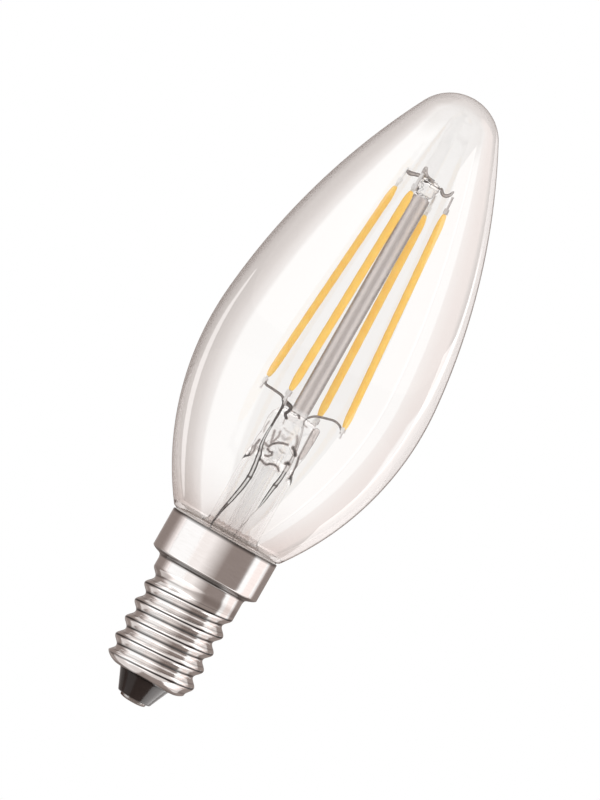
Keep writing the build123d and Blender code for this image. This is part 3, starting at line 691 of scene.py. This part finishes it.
def build_cap_end():
    bore = 1.2
    foot, flank_top = (2.7, 0.95), (3.86, 3.55)
    cone = [(bore, 0.62), (2.1, 0.6)]
    cone += bezier((2.3, 0.62), (2.62, 0.66), foot, 8)
    cone += straight(foot, flank_top, 6)
    cone += bezier((3.88, 3.6), (3.95, 3.74), (3.9, 3.86), 5)
    cone += [(3.4, 3.95), (bore, 3.95)]
    end = lathe("insulator_cone", cone, 96, close=True)
    dress(end, insulator)
    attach(end, "root")
    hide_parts("base_insulator")
    dome = bezier((0.0, 0.0), (1.5, 0.0), (1.95, 0.28), 10)
    dome += bezier((1.98, 0.32), (2.06, 0.45), (2.0, 0.66), 5)
    dome += [(0.0, 0.7)]
    tip = lathe("contact_dome", dome, 72)
    dress(tip, contact_metal)
    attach(tip, "root")
    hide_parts("centre_contact")


# Filament coats: soft bars with rounded, tapered ends

COAT_HALF_WIDTH = 0.59
COAT_HALF_DEPTH = 0.51
COAT_TAPER = 2.2
COAT_TIP = 0.35
COAT_CORNER = 0.75
COAT_END_STATIONS = [0.0, 0.04, 0.12, 0.25, 0.45, 0.7, 1.0, 1.4, 1.9, 2.5]
COAT_MIDDLE_START = 3.2


def coat_scale(s, length, phase):
    """How full a coat is at a place along it: less at its ends, and a little uneven."""
    near = min(s, length - s)
    taper = 0.55 + 0.45 * math.sin(min(1.0, near / COAT_TAPER) * math.pi / 2)
    tip = math.sqrt(max(0.0, 1 - (1 - min(1.0, near / COAT_TIP)) ** 2)) * 0.75 + 0.25
    swell = 1 + 0.02 * math.sin(s * 1.9 + phase) + 0.012 * math.sin(s * 5.3 + 2 * phase)
    return taper * tip * swell


def build_coat(name):
    sides, middle_steps = 28, 40
    degrees, lift, low_reach, high_reach = FILAMENTS[name]
    angle = math.radians(degrees)
    out = Vector((math.cos(angle), math.sin(angle), 0))
    rise = math.sqrt(FILAMENT_LENGTH**2 - (FILAMENT_FOOT - FILAMENT_HEAD) ** 2)
    foot = Vector((MOUNT_X, 0, FILAMENT_BASE + lift)) + out * FILAMENT_FOOT
    head = Vector((MOUNT_X, 0, FILAMENT_BASE + lift + rise)) + out * FILAMENT_HEAD
    along = (head - foot).normalized()
    foot -= along * low_reach
    length = FILAMENT_LENGTH + low_reach + high_reach
    across = Vector((-out.y, out.x, 0))
    through = along.cross(across)
    run = length - 2 * COAT_MIDDLE_START
    middle = [COAT_MIDDLE_START + run * k / middle_steps for k in range(middle_steps + 1)]
    stations = COAT_END_STATIONS + middle + [length - s for s in reversed(COAT_END_STATIONS)]
    bm = bmesh.new()
    rings = []
    for s in stations:
        scale = coat_scale(s, length, degrees)
        ring = []
        for a in angles(sides):
            c, d = math.cos(a), math.sin(a)
            x = math.copysign(abs(c) ** COAT_CORNER, c) * COAT_HALF_WIDTH * scale
            y = math.copysign(abs(d) ** COAT_CORNER, d) * COAT_HALF_DEPTH * scale
            ring.append(bm.verts.new((foot + along * s + across * x + through * y) * MM))
        rings.append(ring)
    join_rings(bm, rings)
    cap_ends(bm, rings)
    coat = make_object("coat_" + name, bm)
    dress(coat, phosphor)
    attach(coat, "root")
    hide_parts("phosphor_" + name)


# Wires: round bars along smooth lines

# The domed end of a wire: how far each ring is on, and how wide, in radii
WIRE_DOME = [(0.0, 1.0), (0.5, 0.8), (0.8, 0.3)]


def smooth_line(points, steps):
    """Points on a smooth curve through some points, each with its radius as a fourth number."""
    points = [Vector(point) for point in points]
    line = []
    for k in range(len(points) - 1):
        p0 = points[max(k - 1, 0)]
        p1, p2 = points[k], points[k + 1]
        p3 = points[min(k + 2, len(points) - 1)]
        for i in range(steps):
            t = i / steps
            line.append(0.5 * (2 * p1 + (p2 - p0) * t + (2 * p0 - 5 * p1 + 4 * p2 - p3) * t * t
                               + (3 * p1 - p0 - 3 * p2 + p3) * t * t * t))
    line.append(points[-1])
    return line


def add_wire(bm, points, sides=16):
    """A round bar with domed ends through (x, y, z, radius) points, in millimetres."""
    line = smooth_line(points, 6)
    last = len(line) - 1
    rings = []
    side = None
    for k, point in enumerate(line):
        before = line[max(k - 1, 0)].to_3d()
        after = line[min(k + 1, last)].to_3d()
        along = (after - before).normalized()
        if side is None:
            side = along.orthogonal().normalized()
        side = (side - along * side.dot(along)).normalized()
        other = along.cross(side)
        steps = WIRE_DOME[:1]
        if k == 0:
            steps = [(-shift, scale) for shift, scale in reversed(WIRE_DOME)]
        elif k == last:
            steps = WIRE_DOME
        for shift, scale in steps:
            ring = []
            for a in angles(sides):
                spoke = (side * math.cos(a) + other * math.sin(a)) * point.w * scale
                ring.append(bm.verts.new((point.to_3d() + along * shift * point.w + spoke) * MM))
            rings.append(ring)
    join_rings(bm, rings)
    cap_ends(bm, rings)


def build_wires(name, paths, paint, node=None):
    bm = bmesh.new()
    for path in paths:
        add_wire(bm, path)
    wires = make_object(name, bm)
    dress(wires, paint)
    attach(wires, "root")
    if node:
        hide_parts(node)
    return wires


def dress_stretches(lead, stretches):
    """Gives stretches of a lead, each between two heights in millimetres, another copy of the wire material.
    """
    for number, (paint, low, high) in enumerate(stretches, 1):
        lead.data.materials.append(paint.material)
        for polygon in lead.data.polygons:
            if low * MM < polygon.center.z < high * MM:
                polygon.material_index = number


def build_leads():
    left = [
        (-2.65, 0, 26.0, 0.14), (-2.6, 0, 28.4, 0.15), (-2.35, 0, 30.4, 0.22), (-1.86, 0, 32.5, 0.3),
        (-1.41, 0, 34.8, 0.37), (-1.26, 0, 36.15, 0.37), (-1.24, 0, 36.55, 0.44), (-1.24, 0, 36.95, 0.38),
        (-1.35, 0, 38.6, 0.38), (-1.65, 0, 40.2, 0.36), (-2.0, 0, 41.7, 0.26), (-2.08, 0, 43.2, 0.18),
        (-2.05, 0, 45.6, 0.18), (-2.05, 0, 47.4, 0.2), (-2.35, 0.2, 48.45, 0.22), (-3.0, 0.6, 48.98, 0.2),
        (-4.4, 1.5, 49.15, 0.2), (-5.7, 2.4, 49.25, 0.2), (-6.05, 2.65, 49.6, 0.2),
    ]
    tail = [
        (-2.5, -0.3, 48.6, 0.28), (-1.8, -0.35, 48.42, 0.33), (-1.0, -0.4, 48.2, 0.3),
        (-0.95, -0.45, 47.6, 0.22), (-1.2, -0.5, 46.95, 0.24), (-0.75, -0.5, 46.45, 0.22),
    ]
    lead = build_wires("lead_left", [left], wire_metal, "lead_wire_left")
    # Darker copies on the left lead are painted shade in the press and low in the tube; the short one at the
    # bulge is a dark join.
    dress_stretches(lead, [
        (arm_metal, 48.7, 60), (dark_wire_metal, 44.4, 48.7), (dark_wire_metal, 36.4, 36.7),
        (dark_wire_metal, 20, 31.8),
    ])
    # The tail in the press takes the darker copy: painted shade.
    build_wires("lead_left_tail", [tail], dark_wire_metal)
    right = [
        (1.0, 0, 26.0, 0.07), (1.15, 0, 29.0, 0.07), (1.55, 0, 31.2, 0.07), (2.03, 0, 33.0, 0.07),
        (2.3, 0, 34.9, 0.24), (2.53, 0, 36.9, 0.32), (2.6, 0, 37.35, 0.4), (2.66, 0, 37.8, 0.33),
        (2.78, 0, 39.0, 0.32), (2.85, 0, 41.0, 0.3), (2.7, 0, 43.2, 0.2), (2.2, 0, 45.6, 0.16),
        (1.62, -0.1, 47.35, 0.15), (2.1, -0.3, 48.25, 0.16), (2.9, -0.7, 48.85, 0.17),
        (4.0, -1.2, 49.2, 0.17), (5.3, -1.9, 49.52, 0.17), (6.2, -2.3, 49.4, 0.17),
        (6.85, -2.65, 48.95, 0.18), (7.1, -2.7, 48.4, 0.18),
    ]
    lead = build_wires("lead_right", [right], wire_metal, "lead_wire_right")
    # Paler copies on the right lead are painted light in the press and low in the tube; the short dark one at
    # the bulge is a dark join.
    dress_stretches(lead, [
        (arm_metal, 48.0, 60), (lit_wire_metal, 39.6, 46.9), (dark_wire_metal, 37.2, 37.5),
        (lit_wire_metal, 20, 33.4),
    ])


def build_top_wires():
    outer = [
        (-3.35, 1.6, 86.0, 0.2), (-2.75, 1.35, 85.85, 0.36), (-2.0, 1.0, 86.05, 0.3), (-1.3, 0.7, 86.2, 0.28),
        (-0.7, 0.45, 86.0, 0.1), (0.6, 0, 85.8, 0.06), (1.9, -0.6, 85.85, 0.08), (2.35, -0.8, 86.0, 0.2),
        (2.72, -0.95, 85.55, 0.28), (3.2, -1.15, 85.4, 0.28), (3.75, -1.35, 85.75, 0.26),
        (4.02, -1.45, 86.45, 0.16),
    ]
    build_wires("top_bracket", [outer], bracket_metal, "top_wire_outer")
    post = [
        (-1.2, -3.9, 84.3, 0.13), (-1.18, -3.3, 85.6, 0.15), (-1.15, -2.4, 86.5, 0.2),
        (-1.1, -1.6, 87.1, 0.3),
    ]
    fin = [
        (-1.08, -1.2, 87.5, 0.3), (-0.98, -1.0, 87.1, 0.37), (-0.65, -0.7, 86.7, 0.36),
        (-0.2, -0.4, 86.48, 0.33), (0.25, -0.1, 86.3, 0.29), (0.5, 0.1, 86.2, 0.2),
    ]
    link = [(0.6, 0.1, 86.15, 0.1), (1.4, 1.6, 85.6, 0.06), (2.05, 3.4, 84.7, 0.06), (2.15, 3.9, 83.4, 0.08)]
    build_wires("top_fin", [post, fin, link], fin_metal, "top_wire_inner")
    weld = [(-0.4, -1.75, 85.72, 0.1), (-0.1, -1.75, 85.8, 0.17), (0.2, -1.75, 85.88, 0.1)]
    build_wires("top_weld", [weld], dark_wire_metal)


# Glass mount: stem with its press, and the rod with its button

def wobble(point, scale, seed):
    return noise.noise(Vector(point) * scale + Vector((seed, seed * 0.7, seed * 1.3)))


# Creases that the pliers left in the press: strength, half width and (x, z) points along each
CREASE_DEPTH = 0.3
CREASE_REACH = 0.6
CREASES = [
    (0.85, 0.15, [(-1.0, 41.75), (-0.65, 42.35), (-0.15, 42.8), (0.5, 43.1), (1.3, 43.3)]),
    (1.00, 0.24, [(2.15, 43.3), (2.6, 42.95), (2.95, 42.5)]),
    (1.00, 0.22, [(2.35, 40.8), (2.6, 41.0), (2.8, 40.95)]),
    (0.80, 0.14, [(-0.95, 41.35), (-0.5, 41.15), (-0.15, 41.25), (0.0, 40.9), (-0.35, 40.45), (-0.8, 40.35)]),
    (0.75, 0.15, [(-0.95, 39.55), (-0.4, 39.35), (0.05, 39.3), (0.35, 39.65), (0.9, 39.85), (1.6, 39.8),
                  (2.0, 39.4)]),
    (0.50, 0.20, [(-1.35, 44.1), (-1.15, 43.2), (-0.95, 42.4)]),
    (0.42, 0.20, [(-0.6, 44.4), (-0.45, 43.7), (-0.75, 42.7)]),
    (0.28, 0.30, [(0.0, 44.0), (0.5, 43.7), (1.0, 44.2)]),
    (0.30, 0.25, [(-2.4, 40.9), (-1.9, 40.5), (-1.5, 41.1)]),
    (0.45, 0.22, [(1.85, 45.0), (2.25, 44.3), (2.4, 43.6)]),
    (0.90, 0.15, [(0.55, 47.8), (0.8, 47.4)]),
    (0.80, 0.15, [(3.55, 42.5), (3.8, 41.5), (3.95, 40.4), (3.9, 39.4), (3.7, 38.8)]),
    (0.55, 0.20, [(-2.6, 41.9), (-2.75, 41.0), (-2.5, 40.2), (-2.7, 39.4)]),
    (0.35, 0.13, [(-2.7, 44.9), (-2.8, 44.0), (-2.65, 43.2)]),
    (0.50, 0.12, [(3.38, 47.0), (3.4, 45.2), (3.46, 43.8), (3.52, 42.6)]),
    (0.30, 0.16, [(0.6, 42.1), (1.0, 41.9), (1.5, 42.0)]),
    (0.50, 0.22, [(-1.7, 41.9), (-1.3, 41.75), (-0.95, 41.7)]),
    (0.50, 0.14, [(-3.0, 40.7), (-2.85, 39.8), (-3.05, 39.0)]),
    (0.35, 0.12, [(-0.9, 46.2), (-0.8, 45.6)]),
    (0.35, 0.14, [(1.6, 47.4), (1.9, 46.9), (2.4, 46.8)]),
    (0.30, 0.13, [(-0.4, 45.1), (0.3, 44.9), (1.2, 44.95)]),
]


def crease(x, z):
    """How strongly the press is creased at a place on its face, from 0 to 1."""
    strongest = 0.0
    for strength, wide, points in CREASES:
        for (x0, z0), (x1, z1) in zip(points, points[1:]):
            beside = not min(x0, x1) - CREASE_REACH < x < max(x0, x1) + CREASE_REACH
            if beside or not min(z0, z1) - CREASE_REACH < z < max(z0, z1) + CREASE_REACH:
                continue
            dx, dz = x1 - x0, z1 - z0
            share = min(1.0, max(0.0, ((x - x0) * dx + (z - z0) * dz) / (dx * dx + dz * dz)))
            away = math.hypot(x - x0 - share * dx, z - z0 - share * dz)
            strongest = max(strongest, strength * math.exp(-((away / wide) ** 2)))
    return strongest


def add_sections(bm, sections, sides, lumps=0.0, lumps_start=0.0, seed=0.0, creased=False):
    """Stacked oval rings: each section is (z, half width, half depth); lumps grow from a height on."""
    grow, lump_scale, lift_scale = 1.5, 0.55, 0.7
    rings = []
    depth = bm.verts.layers.float.get("crease") or bm.verts.layers.float.new("crease")
    for z, wide, deep in sections:
        rough = lumps * smoothstep(lumps_start, lumps_start + grow, z)
        ring = []
        for a in angles(sides):
            way = Vector((math.cos(a), math.sin(a), 0))
            place = Vector((MOUNT_X + wide * way.x, deep * way.y, z))
            place += way * rough * wobble(place, lump_scale, seed)
            place.z += 0.5 * rough * wobble(place, lift_scale, seed + 5)
            face = -1 if way.y < 0 else 1
            pressed = crease(place.x if face < 0 else 2 * MOUNT_X - place.x, place.z) if creased else 0.0
            place.y -= face * CREASE_DEPTH * pressed
            ring.append(bm.verts.new(place * MM))
            ring[-1][depth] = pressed
        rings.append(ring)
    join_rings(bm, rings)
    return rings


def eased(stops, count):
    """Sections between some stops, eased from one to the next."""
    made = []
    for a, b in zip(stops, stops[1:]):
        for k in range(count):
            t = k / count
            ease = smoothstep(0, 1, t)
            made.append((a[0] + (b[0] - a[0]) * t, a[1] + (b[1] - a[1]) * ease, a[2] + (b[2] - a[2]) * ease))
    made.append(stops[-1])
    return made


def build_stem():
    sides = 200
    bm = bmesh.new()
    body = eased([
        (22.6, 6.6, 6.6), (26.5, 4.8, 4.8), (29.4, 4.0, 4.0), (38.0, 4.0, 4.0), (40.6, 3.75, 1.7),
        (43.0, 3.65, 1.45), (46.4, 3.6, 1.4), (47.2, 3.1, 1.25), (47.7, 2.2, 0.9), (47.85, 0.8, 0.3),
    ], 20)
    outside = add_sections(bm, body, sides, lumps=0.4, lumps_start=38.2, seed=3.1, creased=True)
    bm.faces.new(outside[-1])
    outer_faces = set(bm.faces)
    hollow = eased([
        (22.6, 5.9, 5.9), (26.5, 4.1, 4.1), (29.4, 3.3, 3.3), (37.6, 3.3, 3.3), (40.4, 2.9, 1.1),
        (42.2, 2.1, 0.8), (43.0, 1.1, 0.5), (43.25, 0.3, 0.2),
    ], 10)
    inside = add_sections(bm, hollow, sides, lumps=0.3, lumps_start=38.6, seed=8.4)
    bm.faces.new(inside[-1])
    join_rings(bm, [outside[0], inside[0]])
    tube_faces = set(bm.faces)
    # A glass bar down the right of the press, which its grey material turns into a painted refraction of the
    # right lead.
    lead_refraction_bar = [
        (3.93, -0.45, 47.0, 0.5), (3.96, -0.5, 45.6, 0.49), (3.94, -0.5, 44.0, 0.42),
        (3.86, -0.45, 42.5, 0.26),
    ]
    add_wire(bm, lead_refraction_bar, 24)
    for face in bm.faces:
        face.material_index = 0 if face in outer_faces else 1 if face in tube_faces else 2
    stem = make_object("stem_body", bm)
    dress(stem, stem_glass, hollow_glass, lead_refraction_glass)
    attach(stem, "root")
    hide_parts("stem_flare")
    clear_of_light(stem)


def build_rod():
    sides = 64
    button_bottom = 83.58
    bm = bmesh.new()
    shaft = eased([(46.4, 1.3, 1.3), (50.0, 1.35, 1.35), (82.9, 1.35, 1.35), (83.55, 1.3, 1.3)], 8)
    button = eased([
        (83.6, 0.5, 0.5), (83.75, 1.1, 1.1), (84.3, 1.5, 1.5), (85.4, 1.55, 1.5), (86.2, 1.35, 1.3),
        (86.55, 0.8, 0.8), (86.6, 0.3, 0.3),
    ], 6)
    cap_ends(bm, add_sections(bm, shaft, sides))
    cap_ends(bm, add_sections(bm, button, sides, lumps=0.45, lumps_start=82.0, seed=12.7))
    rod = make_object("rod_and_button", bm)
    dress(rod, rod_glass, button_glass)
    for polygon in rod.data.polygons:
        polygon.material_index = 1 if polygon.center.z > button_bottom * MM else 0
    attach(rod, "root")
    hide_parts("support_rod")
    clear_of_light(rod)


build_glass()
build_shell()
build_cap_end()
for filament in FILAMENTS:
    build_coat(filament)
build_leads()
build_top_wires()
build_stem()
build_rod()

# CAD nodes that keep their own shape
FINISHES = {
    "exhaust_tube": tube_glass,
    "lead_branch_left": tab_metal,
    "lead_branch_right": tab_metal,
    "cement_ring": cement,
    "driver_board": board,
    "bridge_rectifier": chip_body,
    "driver_chip": chip_body,
    "smoothing_capacitor": capacitor_can,
    "fuse_resistor": resistor_body,
    "shell_wire": wire_metal,
}
UPPER_TABS = {"left_front": tab_metal, "right_front": post_metal}
for filament in FILAMENTS:
    FINISHES["carrier_" + filament] = carrier_ceramic
    FINISHES["upper_tab_" + filament] = UPPER_TABS.get(filament, tinned_metal)
    FINISHES["lower_tab_" + filament] = tab_metal
smoothing = make_smoothing()
for name, paint in FINISHES.items():
    dress(nodes[name], paint)
    nodes[name].modifiers.new("smooth", "NODES").node_group = smoothing
clear_of_light(nodes["exhaust_tube"])


# Camera: level with the bulb's middle, rolled so that the tip leans to the right

def build_camera():
    tilt = math.radians(29.6)
    distance = 1.2
    view_height = 0.1150
    middle = Vector((-0.000367, 0, 0.049705))
    right = Vector((math.cos(tilt), 0, math.sin(tilt)))
    up = Vector((-math.sin(tilt), 0, math.cos(tilt)))
    back = Vector((0, -1, 0))
    data = bpy.data.cameras.new("camera")
    data.sensor_width = 36
    data.lens = data.sensor_width * distance / view_height
    data.clip_start = 0.01
    data.clip_end = 100
    camera = add_object("camera", data)
    place = Matrix((right, up, back)).transposed().to_4x4()
    place.translation = middle + back * distance
    camera.matrix_world = place
    bpy.context.scene.camera = camera


# Studio: a white surround that metal and glass reflect with its darker flags, a pale floor and soft lamps

def build_world():
    world = bpy.data.worlds.new("studio")
    bpy.context.scene.world = world
    world.use_nodes = True
    world.cycles.sampling_method = "NONE"
    sky = NodeTree(world.node_tree)
    maths = sky.maths

    def between(source, low, high):
        return sky.span(source, low, high, "SMOOTHSTEP")

    def between_degrees(source, low, high):
        return between(source, math.radians(low), math.radians(high))

    white = (1.0, 1.0, 1.0)
    plain = (0.97, 0.97, 0.97)
    dark = (0.10, 0.05, 0.03)
    dim = (0.30, 0.25, 0.23)
    pale = (0.64, 0.53, 0.495)
    # Directions in degrees, counted from the front round to the right
    around = [
        (-180, dim), (-164, dim), (-156, dark), (-120, dark), (-108, (0.20, 0.14, 0.12)),
        (-97, (0.38, 0.31, 0.29)), (-93, (0.45, 0.38, 0.36)), (-88, white), (-42, white), (-38, dim),
        (73, dim), (79, white), (90, white), (92.5, pale), (124, pale), (132, dim), (180, dim),
    ]
    x, y, height = sky.place("Generated")
    toward = maths("MULTIPLY", y, -1.0)
    turn = maths("ARCTAN2", x, toward)
    share = maths("ADD", maths("DIVIDE", turn, 2 * math.pi), 0.5)
    flags = sky.ramp(share, [((degrees + 180) / 360, colour) for degrees, colour in around])

    # A bright gap between the flags at the rear right, which leans further round above and below
    above = maths("MULTIPLY", maths("MAXIMUM", height, 0.0), 2.0)
    below = maths("MULTIPLY", maths("MAXIMUM", maths("SUBTRACT", -0.13, height), 0.0), 1.05)
    gap_start = between_degrees(maths("SUBTRACT", turn, maths("ADD", above, below)), 113, 119)
    gap_end = between_degrees(maths("SUBTRACT", turn, above), 129, 121)
    gap = maths("MULTIPLY", gap_start, gap_end)
    gap = maths("MULTIPLY", gap, between_degrees(turn, 147, 141))

    # The surround ends overhead in front along a slanting edge, and all round at the top and bottom
    slant = maths("ADD", height, maths("MULTIPLY", maths("ABSOLUTE", turn), 0.172))
    overhead = maths("MULTIPLY", between(slant, 0.885, 0.95), between(toward, -0.15, 0.1))
    sides = sky.mix(overhead, sky.mix(gap, flags, white), dim)
    steep = between(maths("ABSOLUTE", height), 0.80, 0.93)
    reflected = sky.mix(steep, sides, dim)

    glossy = sky.node("ShaderNodeLightPath").outputs["Is Glossy Ray"]
    colour = sky.mix(sky.seen(), sky.mix(glossy, plain, reflected), white)
    sky.feed(world.node_tree.nodes["Background"].inputs["Color"], colour)


def build_floor():
    radius, drop = 4.0, 0.35
    bm = bmesh.new()
    bmesh.ops.create_circle(bm, cap_ends=True, segments=64, radius=radius)
    floor = make_object("floor", bm, smooth=False)
    floor.location.z = -drop
    paint = Paint("floor", Roughness=0.9, Specular_IOR_Level=0.0, Emission_Color=(1, 1, 1, 1))
    paint.set("Base Color", paint.two_tone(paint.noise(3), 0.80, 0.82))
    paint.set("Emission Strength", paint.maths("MULTIPLY", paint.seen(), 0.5))
    dress(floor, paint)
    floor.visible_glossy = False
    floor.visible_shadow = False


def area_lamp(name, shape, size, energy, place):
    """A lamp that the camera doesn't see, straight or through glass."""
    data = bpy.data.lights.new(name, "AREA")
    data.shape = shape
    data.size, data.size_y = size
    data.energy = energy
    lamp = add_object(name, data)
    lamp.location = place
    lamp.visible_camera = False
    lamp.visible_transmission = False
    return lamp


def turn_back_to(lamp, away):
    """Turns a lamp so that its back is toward a direction."""
    lamp.rotation_mode = "QUATERNION"
    lamp.rotation_quaternion = away.to_track_quat("Z", "Y")


def show_to(lamp, receiver):
    """Keeps a lamp to the reflections of one piece."""
    lamp.visible_diffuse = False
    group = bpy.data.collections.new(lamp.name + "_receiver")
    group.objects.link(bpy.data.objects[receiver])
    lamp.light_linking.receiver_collection = group


def strip_lamp(receiver, name, start, end, level, tall=2.4, middle=0.04, shape="RECTANGLE"):
    """A tall strip light between two directions round the bulb, which one piece reflects at a level."""
    distance = 0.6
    wide = 2 * distance * math.tan(math.radians((end - start) / 2))
    area = wide * tall * (math.pi / 4 if shape == "ELLIPSE" else 1)
    a = math.radians((start + end) / 2)
    away = Vector((math.sin(a), -math.cos(a), 0))
    place = away * distance + Vector((0, 0, middle))
    lamp = area_lamp(name, shape, (wide, tall), level * math.pi * area, place)
    turn_back_to(lamp, away)
    show_to(lamp, receiver)


def ceiling_lamp(receiver, name, height, x_range, y_range, level):
    """A broad light above or below, which one piece reflects at a level."""
    wide, deep = x_range[1] - x_range[0], y_range[1] - y_range[0]
    place = (sum(x_range) / 2, sum(y_range) / 2, height)
    lamp = area_lamp(name, "RECTANGLE", (wide, deep), level * math.pi * wide * deep, place)
    if height < 0:
        lamp.rotation_euler = (math.pi, 0, 0)
    show_to(lamp, receiver)


def soft_lamp(name, place, size, energy):
    """A lamp turned to the bulb's middle, which no piece reflects."""
    lamp = area_lamp(name, "SQUARE", (size, size), energy, place)
    turn_back_to(lamp, Vector(place) - Vector((0, 0, 0.05)))
    lamp.visible_glossy = False


def build_lamps():
    soft_lamp("key", (0.25, -0.85, 0.35), 0.8, 2.2)
    soft_lamp("fill", (0.75, -0.6, 0.15), 0.6, 0.6)
    shell_strips = [
        ("shell_left", -88, -40, 0.12),
        ("shell_far_left_1", -97, -90, 0.57),
        ("shell_far_left_2", -104, -97, 0.40),
        ("shell_far_left_3", -111, -104, 0.25),
        ("shell_left_edge", -164, -111, 0.19),
        ("shell_front", -40, -14, 0.74),
    ]
    for step in range(8):
        shell_strips.append((f"shell_fade_{step}", -14 + 4.5 * step, -9.5 + 4.5 * step, 0.68 - 0.085 * step))
    shell_strips += [("shell_right", 77, 91, 0.20), ("shell_far_right", 91, 117, 0.48)]
    for strip in shell_strips:
        strip_lamp("threaded_shell", *strip)
    strip_lamp("glass_bulb", "glass_right", 48, 76, 0.70, tall=1.86, middle=-0.22)
    strip_lamp("glass_bulb", "glass_right_line", 122, 137, 0.55, tall=0.42, middle=-0.045)
    strip_lamp("glass_bulb", "glass_right_edge", 137, 161, 0.48, tall=0.56)
    strip_lamp("glass_bulb", "glass_left_line", -132.5, -121.5, 0.62, tall=0.52, middle=-0.12,
               shape="ELLIPSE")
    strip_lamp("insulator_cone", "cone_right", 60, 132, 5.0)
    strip_lamp("insulator_cone", "cone_right_edge", 132, 168, 1.1)
    strip_lamp("insulator_cone", "cone_left_edge", -168, -112, 0.45)
    broad_lights = [
        ("shell_above", 1.2, (-1.6, 1.6), (-1.7, 1.5)),
        ("shell_below_front", -1.2, (-1.6, 1.6), (-1.7, -0.2)),
        ("shell_below_left", -1.2, (-1.6, -0.16), (-0.2, 1.5)),
        ("shell_below_right", -1.2, (0.62, 1.6), (-0.2, 1.5)),
    ]
    for light in broad_lights:
        ceiling_lamp("threaded_shell", *light, 0.5)


build_camera()
build_world()
build_floor()
build_lamps()

bpy.context.scene.view_settings.view_transform = "Standard"
